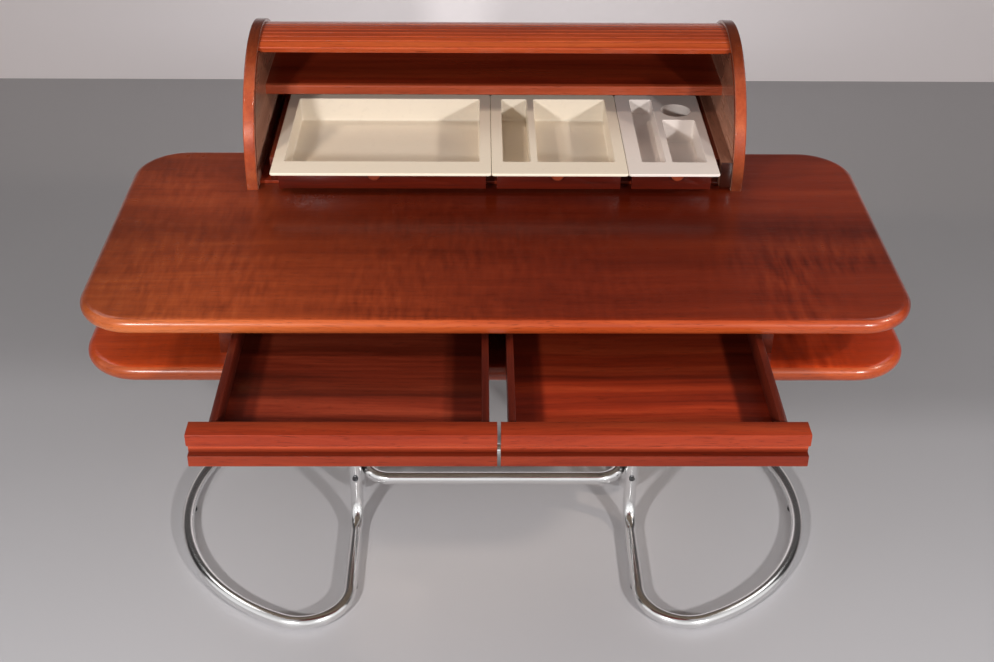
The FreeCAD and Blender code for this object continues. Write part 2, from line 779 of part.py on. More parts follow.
def tray(word, left, width, knob_shift, recesses, cup_place=None):
    """recesses: (limits along X, limits along Y, depth, corner radius), from left to right."""
    name = f"{word}_tray"
    tray_x = (left, left + width)
    knob_x = left + width / 2 + knob_shift
    body = new_body(name)
    rim = sketch_on(body, "XY_Plane", f"{name}_rim", rim_low)
    outline(rim, rectangle(tray_x, tray_y, size.tray_corner_radius))
    feature(body, "Pad", rim, size.tray_rim_height)
    under = sketch_on(body, "XY_Plane", f"{name}_underside", rim_low)
    inner_radius = size.tray_corner_radius - size.tray_sheet
    inner_x = grown(tray_x, -size.tray_sheet)
    inner_y = (tray_y[0] + size.tray_sheet, tray_y[1] + size.overrun)
    under_corners = [
        (inner_x[0], inner_y[0], inner_radius),
        (inner_x[1], inner_y[0], inner_radius),
        (inner_x[1], inner_y[1], 0),
        (inner_x[0], inner_y[1], 0),
    ]
    outline(under, under_corners)
    feature(body, "Pocket", under, size.tray_rim_height - size.tray_sheet, reverse=True)
    for number, (across, along, depth, radius) in enumerate(recesses, 1):
        tub_low = tray_top - depth - size.tray_sheet
        tub = sketch_on(body, "XY_Plane", f"{name}_tub_{number}", tub_low)
        tub_limits = (grown(across, size.tray_sheet), grown(along, size.tray_sheet))
        outline(tub, rectangle(*tub_limits, radius + size.tray_sheet))
        feature(body, "Pad", tub, depth)
    for number, (across, along, depth, radius) in enumerate(recesses, 1):
        hollow = sketch_on(body, "XY_Plane", f"{name}_recess_{number}", tray_top)
        outline(hollow, rectangle(across, along, radius))
        feature(body, "Pocket", hollow, depth)
    last = body.Tip
    for number, depth in enumerate(sorted({recess[2].value for recess in recesses}), 1):
        floor = tray_top - next(recess[2] for recess in recesses if recess[2].value == depth)
        last = round_edges(body, last, f"{name}_floor_{number}", level_at(floor), size.recess_floor_round)

    def on_mouth(edge):
        box = edge.BoundBox
        inside = box.XMin > tray_x[0].value + TOUCH and box.XMax < tray_x[1].value - TOUCH
        inside = inside and box.YMin > tray_y[0].value + TOUCH and box.YMax < tray_y[1].value - TOUCH
        return level_at(tray_top)(edge) and inside

    last = round_edges(body, last, f"{name}_mouth", on_mouth, size.recess_mouth_round)

    def on_top_rim(edge):
        box = edge.BoundBox
        low_x = recesses[0][0][0].value - size.recess_mouth_round.value
        outside = box.XMax < low_x or box.YMin > recess_y[1].value + size.recess_mouth_round.value
        outside = outside or box.YMax < recess_y[0].value - size.recess_mouth_round.value
        outside = outside or box.XMin > recesses[-1][0][1].value + size.recess_mouth_round.value
        return level_at(tray_top)(edge) and outside

    round_edges(body, last, f"{name}_top_rim", on_top_rim, size.tray_rim_round)
    hole = sketch_on(body, "XZ_Plane", f"{name}_knob_hole", -recess_y[0] - size.overrun)
    circle(hole, knob_x, knob_z, knob_hole)
    feature(body, "Pocket", hole, size.tray_sheet + size.overrun * 2, reverse=True)
    if cup_place:
        seat = sketch_on(body, "XY_Plane", f"{name}_cup_seat", tray_top)
        circle(seat, *cup_place, cup_outside + size.cup_clearance)
        feature(body, "Pocket", seat, size.tray_sheet + size.overrun)
    keep(body, name)
    tray_board(word, grown(tray_x, -half_rail - size.tray_board_side_gap), knob_x)
    knob(word, knob_x)


def tray_cup(name, across, along):
    """A round cup, moulded apart and glued into a hole in its tray."""
    body = new_body(name)
    floor = tray_top - size.cup_depth
    blank = sketch_on(body, "XY_Plane", f"{name}_outside", floor - size.tray_sheet)
    circle(blank, across, along, cup_outside)
    feature(body, "Pad", blank, size.cup_depth + size.tray_sheet)
    hollow = sketch_on(body, "XY_Plane", f"{name}_hollow", tray_top)
    circle(hollow, across, along, size.cup_diameter)
    feature(body, "Pocket", hollow, size.cup_depth)
    last = round_edges(body, body.Tip, f"{name}_floor", level_at(floor), size.cup_floor_round)

    def on_mouth(edge):
        reach = (edge.BoundBox.XMax - edge.BoundBox.XMin) / 2
        return level_at(tray_top)(edge) and reach < size.cup_diameter.value / 2 + TOUCH

    round_edges(body, last, f"{name}_mouth", on_mouth, size.recess_mouth_round)
    keep(body, name)


def tray_board(word, across, knob_x):
    """The wooden front that closes the space under a tray's flange, between two rails."""
    name = f"{word}_tray_front"
    upright = (board_top + size.tray_board_floor_gap, sheet_low)
    blank = board(f"{name}_blank", across, (board_face, wall_front), upright)
    hole_start = (knob_x, board_face - size.overrun, knob_z)
    hole = rod(f"{name}_hole", "y", hole_start, knob_hole, size.tray_board_thickness + size.overrun * 2)
    keep(cut(name, blank, hole), name)


def knob(word, across):
    """A turned pull and the screw that holds it from inside the tray."""
    name = f"{word}_tray_knob"
    body = new_body(name)
    section = sketch_on(body, "XZ_Plane", f"{name}_section", -board_face)
    circle(section, across, knob_z, size.knob_diameter)
    pad = feature(body, "Pad", section, size.knob_length)
    tip = board_face - size.knob_length
    at_tip = lambda edge: abs(edge.BoundBox.YMax - tip.value) < TOUCH
    round_edges(body, pad, f"{name}_tip", at_tip, size.knob_round)
    pilot = sketch_on(body, "XZ_Plane", f"{name}_pilot", -board_face)
    circle(pilot, across, knob_z, knob_hole)
    walls = size.tray_sheet + size.tray_board_thickness
    pilot_depth = size.knob_screw_length - walls + size.screw_clearance
    feature(body, "Pocket", pilot, pilot_depth, reverse=True)
    keep(body, name)
    screw_tip = (across, recess_y[0] - size.knob_screw_length, knob_z)
    shank = rod(f"{name}_shank", "y", screw_tip, size.knob_screw_diameter, size.knob_screw_length)
    head_place = (across, recess_y[0], knob_z)
    head = rod(f"{name}_head", "y", head_place, size.knob_screw_head_diameter, size.knob_screw_head_height)
    keep(join(f"{word}_tray_screw", shank, head), f"{word}_tray_screw")


large_left = row_left
medium_left = large_left + size.tray_large_width + size.tray_gap
small_left = medium_left + size.tray_medium_width + size.tray_gap
row_right = small_left + size.tray_small_width

large_x = (large_left + size.tray_side_flange, large_left + size.tray_large_width - size.tray_side_flange)
narrow_x = (
    medium_left + size.tray_side_flange,
    medium_left + size.tray_side_flange + size.medium_narrow_width,
)
wide_x = (
    narrow_x[1] + size.medium_divider,
    medium_left + size.tray_medium_width - size.tray_side_flange,
)
pen_x = (small_left + size.pen_slot_inset, small_left + size.pen_slot_inset + size.pen_slot_width)
box_x = (pen_x[1] + size.small_divider, pen_x[1] + size.small_divider + size.small_box_width)
box_y = (recess_y[0], recess_y[0] + size.small_box_length)
cup_outside = size.cup_diameter + size.tray_sheet * 2
cup_place = ((box_x[0] + box_x[1]) / 2, box_y[1] + size.cup_gap + size.cup_diameter / 2)
corner = size.recess_corner_radius

large_recesses = [(large_x, recess_y, size.recess_depth, corner)]
tray("large", large_left, size.tray_large_width, size.large_knob_shift, large_recesses)
medium_recesses = [
    (narrow_x, recess_y, size.recess_depth, corner),
    (wide_x, recess_y, size.recess_depth, corner),
]
tray("medium", medium_left, size.tray_medium_width, size.medium_knob_shift, medium_recesses)
small_recesses = [
    (pen_x, recess_y, size.pen_slot_depth, corner),
    (box_x, box_y, size.recess_depth, corner),
]
tray("small", small_left, size.tray_small_width, size.small_knob_shift, small_recesses, cup_place)
tray_cup("small_tray_cup", *cup_place)

rail_z = (board_top, sheet_low - size.tray_rail_clearance)
rail_y = (floor_front, arch_y + shell_inner - size.tray_rail_back_gap)
flange_room = size.tray_sheet + size.tray_rail_clearance * 2
joint_1 = medium_left - size.tray_gap / 2
joint_2 = small_left - size.tray_gap / 2
rails = {
    "left": (row_left - half_rail, row_left + half_rail),
    "centre_left": (joint_1 - half_rail, joint_1 + half_rail),
    "centre_right": (joint_2 - half_rail, joint_2 + half_rail),
    "right": (row_right - half_rail, row_right + half_rail),
}


def tray_rail(word, across):
    """A rail whose top is rebated so that the turned-down tray rims run beside a narrow tongue."""
    name = f"tray_rail_{word}"
    body = new_body(name)
    section = sketch_on(body, "XZ_Plane", f"{name}_section", -rail_y[1])
    shoulder = rim_low - size.tray_rail_clearance
    outline(section, rectangle(across, (rail_z[0], shoulder), 0))
    feature(body, "Pad", section, rail_y[1] - rail_y[0])
    for side_word, tongue in tongues(word, across):
        tip = sketch_on(body, "XZ_Plane", f"{name}_{side_word}_tongue", -rail_y[1])
        outline(tip, rectangle(tongue, (rail_z[0], rail_z[1]), 0))
        feature(body, "Pad", tip, rail_y[1] - rail_y[0])
    keep(body, name)


def tongues(word, across):
    """The parts of a rail that reach up to a tray's flange, inside its rim."""
    middle = (across[0] + across[1]) / 2
    rim_room = size.tray_gap / 2 + flange_room
    if word != "left":
        yield "near", (across[0], middle - rim_room)
    if word != "right":
        yield "far", (middle + rim_room, across[1])


for word, across in rails.items():
    tray_rail(word, across)

# A filler strip closes the gap between the right rail and the roll top's side, level with the trays
filler_x = (rails["right"][1], arch_inner)
filler_y = (arch_front + size.filler_front_inset, rail_y[1])
filler_z = (board_top, tray_top - size.filler_drop)
keep(board("tray_filler", filler_x, filler_y, filler_z), "tray_filler")


# Tube base

tube_radius = size.tube_diameter / 2
bore_diameter = size.tube_diameter - size.tube_wall * 2
floor_z = size.glide_lift + tube_radius
leg_top = lower_underside - size.plate_thickness
loop_centre_x = leg_half_span - size.loop_centre_inset
corner_x = leg_half_span + size.loop_corner_radius
centre_reach = size.loop_radius - size.loop_corner_radius
corner_offset = corner_x - loop_centre_x
corner_reach = square_root(centre_reach * centre_reach - corner_offset * corner_offset)
ring_z = size.ring_rise


def vector(x, y, z):
    return FreeCAD.Vector(as_size(x).value, as_size(y).value, as_size(z).value)


def foot_path():
    """The right-hand tube's centre line: down the front leg, round the floor loop, up the back leg."""
    leg_x = leg_half_span
    bend = size.leg_bend_radius
    bend_share = 1 - math.sqrt(0.5)

    def leg_points(sign):
        """From the top of a leg to the end of its floor run, on the front (-1) or the back (1)."""
        leg_y = base_centre + size.leg_half_pitch * sign
        return [
            vector(leg_x, leg_y, leg_top),
            vector(leg_x, leg_y, floor_z + bend),
            vector(leg_x, leg_y + bend * bend_share * sign, floor_z + bend * bend_share),
            vector(leg_x, leg_y + bend * sign, floor_z),
            vector(leg_x, base_centre + corner_reach * sign, floor_z),
        ]

    def corner_points(sign):
        """Middle and end of the small arc that leads into the large one."""
        corner_y = base_centre + corner_reach * sign
        centre = vector(corner_x, corner_y, floor_z)
        hub = vector(loop_centre_x, base_centre, floor_z)
        outward = (centre - hub).normalize()
        end = centre + outward * size.loop_corner_radius.value
        start_way = FreeCAD.Vector(-1, 0, 0)
        middle_way = (start_way + outward).normalize()
        return centre + middle_way * size.loop_corner_radius.value, end

    front = leg_points(-1)
    back = leg_points(1)
    front_middle, front_end = corner_points(-1)
    back_middle, back_end = corner_points(1)
    far_side = vector(loop_centre_x + size.loop_radius, base_centre, floor_z)
    curves = [
        Part.LineSegment(front[0], front[1]),
        Part.Arc(front[1], front[2], front[3]),
        Part.LineSegment(front[3], front[4]),
        Part.Arc(front[4], front_middle, front_end),
        Part.Arc(front_end, far_side, back_end),
        Part.Arc(back_end, back_middle, back[4]),
        Part.LineSegment(back[4], back[3]),
        Part.Arc(back[3], back[2], back[1]),
        Part.LineSegment(back[1], back[0]),
    ]
    return Part.Wire([curve.toShape() for curve in curves])


def swept(name, side, diameter):
    """A round bar along the foot path, on the right side or mirrored to the left."""
    path = foot_path()
    start = path.Edges[0].Vertexes[0].Point
    section = Part.Wire([Part.Circle(start, FreeCAD.Vector(0, 0, 1), diameter.value / 2).toShape()])
    shape = path.makePipeShell([section], True, False)
    expected = math.pi * diameter.value ** 2 / 4 * path.Length
    print(f"{name}: volume {shape.Volume:.0f}, section times length {expected:.0f}")
    if side < 0:
        shape = shape.mirror(FreeCAD.Vector(), FreeCAD.Vector(1, 0, 0))
    bar = doc.addObject("Part::Feature", name)
    bar.Shape = shape
    return bar


bolt_hole = size.leg_bolt_diameter + size.bolt_clearance
leg_front_face = base_centre - size.leg_half_pitch - tube_radius
leg_back_face = base_centre + size.leg_half_pitch + tube_radius
spacer_z = (ring_z - size.spacer_height / 2, ring_z + size.spacer_height / 2)
ring_end = leg_half_span - size.spacer_width / 2 - tube_radius
ring_straight = ring_end - size.ring_half_depth
glide_solids = []


def leg_hole(name, side):
    start = (leg_half_span * side, leg_front_face - size.overrun, ring_z)
    return rod(name, "y", start, bolt_hole, leg_back_face - leg_front_face + size.overrun * 2)


def glide(name, across, along, tube):
    disc = rod(f"{name}_disc", "z", (across, along, ZERO), size.glide_diameter, size.glide_height)
    glide_solids.append(cut(name, disc, tube))


def foot(side, word):
    name = f"foot_tube_{word}"
    solid = swept(f"{name}_outside", side, size.tube_diameter)
    bore = swept(f"{name}_bore", side, bore_diameter)
    keep(cut(name, solid, bore, leg_hole(f"{name}_bolt_hole", side)), name)
    for sign, place in ((-1, "front"), (1, "back")):
        along = base_centre + (corner_reach - size.glide_corner_gap) * sign
        glide(f"glide_{word}_{place}", leg_half_span * side, along, solid)
    glide(f"glide_{word}_outer", (loop_centre_x + size.loop_radius) * side, base_centre, solid)


def spacer(side, word):
    """A block between the two legs, hollowed to fit them and drilled for both bolts."""
    name = f"leg_spacer_{word}"
    centre = leg_half_span * side
    across = (centre - size.spacer_width / 2, centre + size.spacer_width / 2)
    legs_y = (base_centre - size.leg_half_pitch, base_centre + size.leg_half_pitch)
    block = board(f"{name}_block", across, legs_y, spacer_z)
    tools = [leg_hole(f"{name}_bolt_hole", side)]
    for place, along in zip(("front", "back"), legs_y):
        start = (centre, along, spacer_z[0] - size.overrun)
        height = size.spacer_height + size.overrun * 2
        tools.append(rod(f"{name}_{place}_leg", "z", start, size.tube_diameter, height))
    tools.append(ring_bolt_hole(f"{name}_ring_hole", side))
    keep(cut(name, block, *tools), name)


def along_x(side, near, far):
    """Start and length of a rod along X on one side of the desk."""
    low, high = mirrored(side, near, far)
    return low, high - low


# The ring's inner wall is hollow along the bend, so the bolt's head seats on the two sides of its rim
ring_hollow = size.ring_half_depth - tube_radius
head_radius = size.leg_bolt_head_diameter / 2
head_seat = square_root(ring_hollow * ring_hollow - head_radius * head_radius)
ring_bolt_head = ring_straight + head_seat - size.head_seat_gap
ring_bolt_tip = ring_end + tube_radius + size.ring_bolt_reach


def ring_bolt_hole(name, side):
    low, length = along_x(side, ring_bolt_head - size.overrun, ring_bolt_tip + size.bolt_clearance)
    return rod(name, "x", (low, base_centre, ring_z), bolt_hole, length)


def ring_bar(name, diameter):
    """Two straight runs closed by half-round ends."""
    pieces = []
    for sign, place in ((-1, "front"), (1, "back")):
        start = (-ring_straight, base_centre + size.ring_half_depth * sign, ring_z)
        pieces.append(rod(f"{name}_{place}", "x", start, diameter, ring_straight * 2))
    for side, word in ((-1, "left"), (1, "right")):
        end = doc.addObject("Part::Torus", f"{name}_{word}")
        end.Placement.Rotation = FreeCAD.Rotation(FreeCAD.Vector(0, 0, 1), -RIGHT_ANGLE * side)
        end.Angle3 = STRAIGHT_ANGLE
        bind(end, "Radius1", size.ring_half_depth)
        bind(end, "Radius2", diameter / 2)
        bind(end, "Placement.Base.x", ring_straight * side)
        bind(end, "Placement.Base.y", base_centre)
        bind(end, "Placement.Base.z", ring_z)
        pieces.append(end)
    return join(name, *pieces)


# Distance from the nut's axis to a flat, as a share of the distance to a corner
nut_flat_share = math.cos(math.pi / size.nut_sides.value)
leg_bolts = []
leg_nuts = []
ring_bolts = []
for side, word in ((-1, "left"), (1, "right")):
    foot(side, word)
    spacer(side, word)
    bolt_x = leg_half_span * side
    shank_length = leg_back_face - leg_front_face + size.nut_height
    shank_size = (size.leg_bolt_diameter, shank_length)
    shank = rod(f"leg_bolt_{word}_shank", "y", (bolt_x, leg_front_face, ring_z), *shank_size)
    head_y = leg_front_face - size.leg_bolt_head_height
    head_size = (size.leg_bolt_head_diameter, size.leg_bolt_head_height)
    head = rod(f"leg_bolt_{word}_head", "y", (bolt_x, head_y, ring_z), *head_size)
    leg_bolts.append(join(f"leg_bolt_{word}", shank, head))
    nut = doc.addObject("Part::Prism", f"leg_nut_{word}_blank")
    nut.Placement.Rotation = TURNS["y"]
    nut.Polygon = int(size.nut_sides.value)
    bind(nut, "Circumradius", size.nut_width / 2 / nut_flat_share)
    bind(nut, "Height", size.nut_height)
    for letter, place in zip("xyz", (bolt_x, leg_back_face, ring_z)):
        bind(nut, f"Placement.Base.{letter}", place)
    nut_start = (bolt_x, leg_back_face - size.overrun, ring_z)
    nut_hole = rod(f"leg_nut_{word}_hole", "y", nut_start, bolt_hole, size.nut_height + size.overrun * 2)
    leg_nuts.append(cut(f"leg_nut_{word}", nut, nut_hole))
    low, length = along_x(side, ring_bolt_head, ring_bolt_tip)
    shank = rod(f"ring_bolt_{word}_shank", "x", (low, base_centre, ring_z), size.leg_bolt_diameter, length)
    low, length = along_x(side, ring_bolt_head - size.leg_bolt_head_height, ring_bolt_head)
    head = rod(f"ring_bolt_{word}_head", "x", (low, base_centre, ring_z), size.leg_bolt_head_diameter, length)
    ring_bolts.append(join(f"ring_bolt_{word}", shank, head))

ring_tools = [ring_bar("ring_bore", bore_diameter)]
for side, word in ((-1, "left"), (1, "right")):
    ring_tools.append(ring_bolt_hole(f"ring_{word}_hole", side))
keep(cut("stretcher_ring", ring_bar("ring_outside", size.tube_diameter), *ring_tools), "stretcher_ring")
keep(group("leg_bolts", leg_bolts), "leg_bolts")
keep(group("leg_nuts", leg_nuts), "leg_nuts")
keep(group("ring_bolts", ring_bolts), "ring_bolts")
keep(group("floor_glides", glide_solids), "floor_glides")


# Leg plates screwed up into the lower slab

def leg_plate(side, word):
    name = f"leg_plate_{word}"
    body = new_body(name)
    sketch = sketch_on(body, "XY_Plane", f"{name}_outline", leg_top)
    outline(sketch, rectangle(plate_limits_x(side), plate_limits_y, size.plate_corner_radius))
    for across, along in plate_screw_points():
        if across.value * side > 0:
            circle(sketch, across, along, size.plate_screw_diameter + size.screw_clearance)
    feature(body, "Pad", sketch, size.plate_thickness)
    keep(body, name)


for side, word in ((-1, "left"), (1, "right")):
    leg_plate(side, word)

plate_screws = []
for number, (across, along) in enumerate(plate_screw_points(), 1):
    name = f"plate_screw_{number}"
    shank_size = (size.plate_screw_diameter, size.plate_screw_length)
    shank = rod(f"{name}_shank", "z", (across, along, leg_top), *shank_size)
    head_place = (across, along, leg_top - size.plate_screw_head_height)
    head = rod(f"{name}_head", "z", head_place, size.plate_screw_head_diameter, size.plate_screw_head_height)
    plate_screws.append(join(name, shank, head))
keep(group("plate_screws", plate_screws), "plate_screws")


# Check the document, then write one file for each sub-part

doc.recompute()
failed = [item.Name for item in doc.Objects if {"Invalid", "Error"} & set(item.State)]
if failed:
    raise RuntimeError(f"failed objects: {failed}")
for node in nodes:
    if node.Shape.isNull() or not node.Shape.isValid() or not node.Shape.Solids:
        raise RuntimeError(f"{node.Label} has no sound solid")

os.makedirs("parts", exist_ok=True)
for node in nodes:
    node.Shape.exportStep(os.path.join("parts", f"{node.Label}.step"))
print(f"{len(nodes)} sub-parts written")
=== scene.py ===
import math

import bmesh
import bpy
from mathutils import Matrix, Vector


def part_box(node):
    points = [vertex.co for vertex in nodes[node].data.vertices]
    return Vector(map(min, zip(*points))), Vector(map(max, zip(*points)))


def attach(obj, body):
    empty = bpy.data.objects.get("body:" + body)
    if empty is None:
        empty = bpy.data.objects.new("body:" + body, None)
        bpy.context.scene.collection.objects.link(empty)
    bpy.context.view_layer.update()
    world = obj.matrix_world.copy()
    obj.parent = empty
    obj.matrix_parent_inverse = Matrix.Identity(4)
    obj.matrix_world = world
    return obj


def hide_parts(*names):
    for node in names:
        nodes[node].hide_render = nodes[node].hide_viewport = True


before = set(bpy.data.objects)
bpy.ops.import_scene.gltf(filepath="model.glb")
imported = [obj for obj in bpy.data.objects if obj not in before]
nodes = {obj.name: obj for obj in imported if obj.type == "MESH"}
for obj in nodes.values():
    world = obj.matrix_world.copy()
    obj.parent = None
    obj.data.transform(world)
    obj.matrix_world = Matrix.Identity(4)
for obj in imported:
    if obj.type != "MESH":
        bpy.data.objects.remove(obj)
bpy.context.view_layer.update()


# Foot tubes. Each side of the base is one steel tube, bent cold into a loop that lies on the
# floor and rises as two legs. It is polished and chromed. Shoes and mops have dulled it where
# it meets the floor, and hands have left faint smudges.


class Wire:
    """One shader socket. Arithmetic on it adds Math nodes, and node() adds any other node."""

    def __init__(self, tree, socket=None):
        self.tree = tree
        self.socket = socket

    def node(self, kind, settings, links, out=0):
        made = self.tree.nodes.new("ShaderNode" + kind)
        for name, value in settings.items():
            if name == "stops":
                band = made.color_ramp
                for count, (place, colour) in enumerate(value):
                    stop = band.elements[count] if count < 2 else band.elements.new(place)
                    stop.position = place
                    stop.color = (*colour, 1.0)
            else:
                setattr(made, name, value)
        for name, value in links.items():
            if isinstance(value, Wire):
                self.tree.links.new(value.socket, made.inputs[name])
            else:
                made.inputs[name].default_value = value
        return Wire(self.tree, made.outputs[out] if made.outputs else None)

    def math(self, operation, other=0.0, swapped=False):
        first, second = (other, self) if swapped else (self, other)
        return self.node("Math", {"operation": operation}, {0: first, 1: second})

    def __add__(self, other):
        return self.math("ADD", other)

    def __radd__(self, other):
        return self.math("ADD", other, True)

    def __sub__(self, other):
        return self.math("SUBTRACT", other)

    def __rsub__(self, other):
        return self.math("SUBTRACT", other, True)

    def __mul__(self, other):
        return self.math("MULTIPLY", other)

    def __rmul__(self, other):
        return self.math("MULTIPLY", other, True)

    def __truediv__(self, other):
        return self.math("DIVIDE", other)

    def __rtruediv__(self, other):
        return self.math("DIVIDE", other, True)


def begin(name):
    """A new finish, and the piece's own coordinates in it."""
    material = bpy.data.materials.new(name)
    material.use_nodes = True
    material.node_tree.nodes.clear()
    return material, Wire(material.node_tree).node("TexCoord", {}, {}, "Object")


def surface(place, sockets):
    """Ends a finish with the shader that has these sockets."""
    shader = place.node("BsdfPrincipled", {}, sockets)
    place.node("OutputMaterial", {}, {"Surface": shader})


def axes(place):
    return [place.node("SeparateXYZ", {}, {"Vector": place}, letter) for letter in "XYZ"]


def noise(place, per_metre, detail=2.0, roughness=0.5):
    """Soft patches, 0 to 1 and mostly near 0.5, about this many to the metre."""
    sockets = {"Vector": place, "Scale": per_metre, "Detail": detail, "Roughness": roughness}
    return place.node("TexNoise", {}, sockets)


def rise(value, low, high):
    """0 below low, 1 above high, and a smooth step between."""
    return value.node(
        "MapRange",
        {"interpolation_type": "SMOOTHSTEP"},
        {"Value": value, "From Min": low, "From Max": high},
    )


def mixed(share, first, second, blend="MIX"):
    """The first colour where share is 0, and the second where it is 1."""
    colours = {0: share}
    for socket, colour in ((6, first), (7, second)):
        colours[socket] = colour if isinstance(colour, Wire) else (*colour, 1.0)
    wire = share if isinstance(share, Wire) else first
    return wire.node("Mix", {"data_type": "RGBA", "blend_type": blend}, colours, 2)


def bump(height, depth, strength):
    """A normal for a surface that is depth metres lower where height is 0 than where it is 1."""
    return height.node("Bump", {}, {"Height": height, "Distance": depth, "Strength": strength})


def dress(material, *names):
    for name in names:
        nodes[name].material_slots[0].material = material


polished, dulled = (0.86, 0.86, 0.86), (0.46, 0.43, 0.39)
mop_reach = (0.004, 0.016)
chrome, place = begin("chromed_tube")
smudge = rise(noise(place, 11.0, 4.0), 0.45, 0.75)
mopped = (1 - rise(axes(place)[2], *mop_reach)) * rise(noise(place, 24.0), 0.35, 0.70)
surface(
    place,
    {
        "Base Color": mixed(mopped * 0.4, polished, dulled),
        "Metallic": 1.0,
        "Roughness": 0.18 + (smudge * 0.06 + mopped * 0.12),
        "Normal": bump(noise(place, 14.0, 1.0), 0.0003, 0.10),
    },
)
dress(chrome, "foot_tube_left", "foot_tube_right")


# Stretcher ring. A closed loop of the same chromed tube lies between the two pairs of legs and
# keeps them apart. A bolt at each end holds it.
dress(chrome, "stretcher_ring")


# Spacers, bolts and nuts. At the height of the ring a shaped steel block fills the gap between
# the two legs of a side. One bolt draws the legs onto it and a second holds the ring. They are
# darkened steel, rubbed brighter in places.
blackened, rubbed_steel = (0.10, 0.10, 0.105), (0.34, 0.33, 0.32)
dark_steel, place = begin("bolt_steel")
mottle = noise(place, 240.0, 3.0)
rubbed_and_painted_bands = rise(noise(place, 45.0, 4.0), 0.5, 0.72)
surface(
    place,
    {
        "Base Color": mixed(rubbed_and_painted_bands, blackened, rubbed_steel),
        "Metallic": 0.95,
        "Roughness": 0.30 + mottle * 0.22 - rubbed_and_painted_bands * 0.1,
        "Normal": bump(mottle, 0.0002, 0.4),
    },
)
dress(dark_steel, "leg_spacer_left", "leg_spacer_right", "leg_bolts", "leg_nuts", "ring_bolts")


# Glides. Six round pads of black plastic are pressed under the tubes so that they don't scratch
# the floor. Grit has scuffed them grey.
moulded_black, scuffed_grey = (0.022, 0.022, 0.023), (0.085, 0.083, 0.08)
black_pad, place = begin("glide_plastic")
scuff = rise(noise(place, 170.0, 4.0), 0.5, 0.75)
surface(
    place,
    {
        "Base Color": mixed(scuff, moulded_black, scuffed_grey),
        "Roughness": 0.55 + scuff * 0.25,
        "Normal": bump(noise(place, 700.0), 0.0002, 0.5),
    },
)
dress(black_pad, "floor_glides")


# Leg plates. Each pair of legs ends in a steel plate that is screwed up into the lower slab.
# The plates are sprayed black, and a fillet of weld runs round each leg below them.
sprayed_black, bare_steel = (0.025, 0.025, 0.026), (0.16, 0.15, 0.14)
black_lacquer, place = begin("plate_steel")
spray = noise(place, 520.0)
chips = rise(noise(place, 90.0, 5.0), 0.66, 0.70)
surface(
    place,
    {
        "Base Color": mixed(chips, sprayed_black, bare_steel),
        "Metallic": chips * 0.8,
        "Roughness": 0.38 + spray * 0.15,
        "Normal": bump(spray - chips, 0.0002, 0.5),
    },
)
dress(black_lacquer, "leg_plate_left", "leg_plate_right")


crease = math.radians(35)


def piece(mesh, name, body, material):
    """A new piece from a bmesh, smooth except at its sharp edges, that rides on a body."""
    data = bpy.data.meshes.new(name)
    mesh.to_mesh(data)
    mesh.free()
    data.polygons.foreach_set("use_smooth", [True] * len(data.polygons))
    data.set_sharp_from_angle(angle=crease)
    data.materials.append(material)
    made = bpy.data.objects.new(name, data)
    bpy.context.scene.collection.objects.link(made)
    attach(made, body)
    return made


tube_radius = 0.014
bolt_head = 0.004
bead_radius = 0.0024
bead_sunk = bead_radius * 0.6
bead_seam = 1e-6
front_leg_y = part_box("leg_bolts")[0].y + bolt_head + tube_radius
back_leg_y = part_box("leg_nuts")[0].y - tube_radius
beads = bmesh.new()
for word in ("left", "right"):
    bead_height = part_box(f"foot_tube_{word}")[1].z - bead_sunk
    spacer_low, spacer_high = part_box(f"leg_spacer_{word}")
    leg_x = (spacer_low.x + spacer_high.x) / 2
    for leg_y in (front_leg_y, back_leg_y):
        beside_leg = Matrix.Translation((leg_x + tube_radius, leg_y, bead_height))
        start = beside_leg @ Matrix.Rotation(math.pi / 2, 4, "X")
        ring = bmesh.ops.create_circle(beads, segments=10, radius=bead_radius, matrix=start)
        edges = list({edge for vert in ring["verts"] for edge in vert.link_edges})
        bmesh.ops.spin(
            beads,
            geom=ring["verts"] + edges,
            cent=(leg_x, leg_y, bead_height),
            axis=(0, 0, 1),
            angle=math.tau,
            steps=48,
            use_merge=True,
        )
bmesh.ops.remove_doubles(beads, verts=beads.verts, dist=bead_seam)
bmesh.ops.recalc_face_normals(beads, faces=beads.faces)
dark_weld, bright_weld = (0.30, 0.29, 0.28), (0.62, 0.61, 0.60)
weld, place = begin("weld_bead")
ripple = noise(place, 380.0)
surface(
    place,
    {
        "Base Color": mixed(ripple, dark_weld, bright_weld),
        "Metallic": 1.0,
        "Roughness": 0.22 + ripple * 0.2,
        "Normal": bump(ripple, 0.0012, 0.6),
    },
)
piece(beads, "leg_weld_beads", "desk", weld)


# Plate screws. Zinc-plated wood screws hold each plate at its corners. The plating is a dull,
# slightly uneven grey.
dull_zinc, clean_zinc = (0.42, 0.41, 0.38), (0.64, 0.63, 0.60)
zinc, place = begin("screw_steel")
grain = noise(place, 500.0, 3.0)
surface(
    place,
    {
        "Base Color": mixed(grain, dull_zinc, clean_zinc),
        "Metallic": 1.0,
        "Roughness": 0.24 + grain * 0.18,
        "Normal": bump(grain, 0.0001, 0.4),
    },
)
dress(zinc, "plate_screws")


# Lower slab. A board with red-brown figured veneer above and a pale backing veneer below. A
# lighter solid strip lips its front, all its edges are worked to a half round, and it is
# lacquered to a deep gloss.


def ramp(value, stops):
    return value.node("ValToRGB", {"stops": tuple(stops)}, {"Fac": value})


def tinted(colour, tint):
    return mixed(1.0, colour, tint, "MULTIPLY")


sideways, front_to_back = 0, 1
grain_wander = 0.05


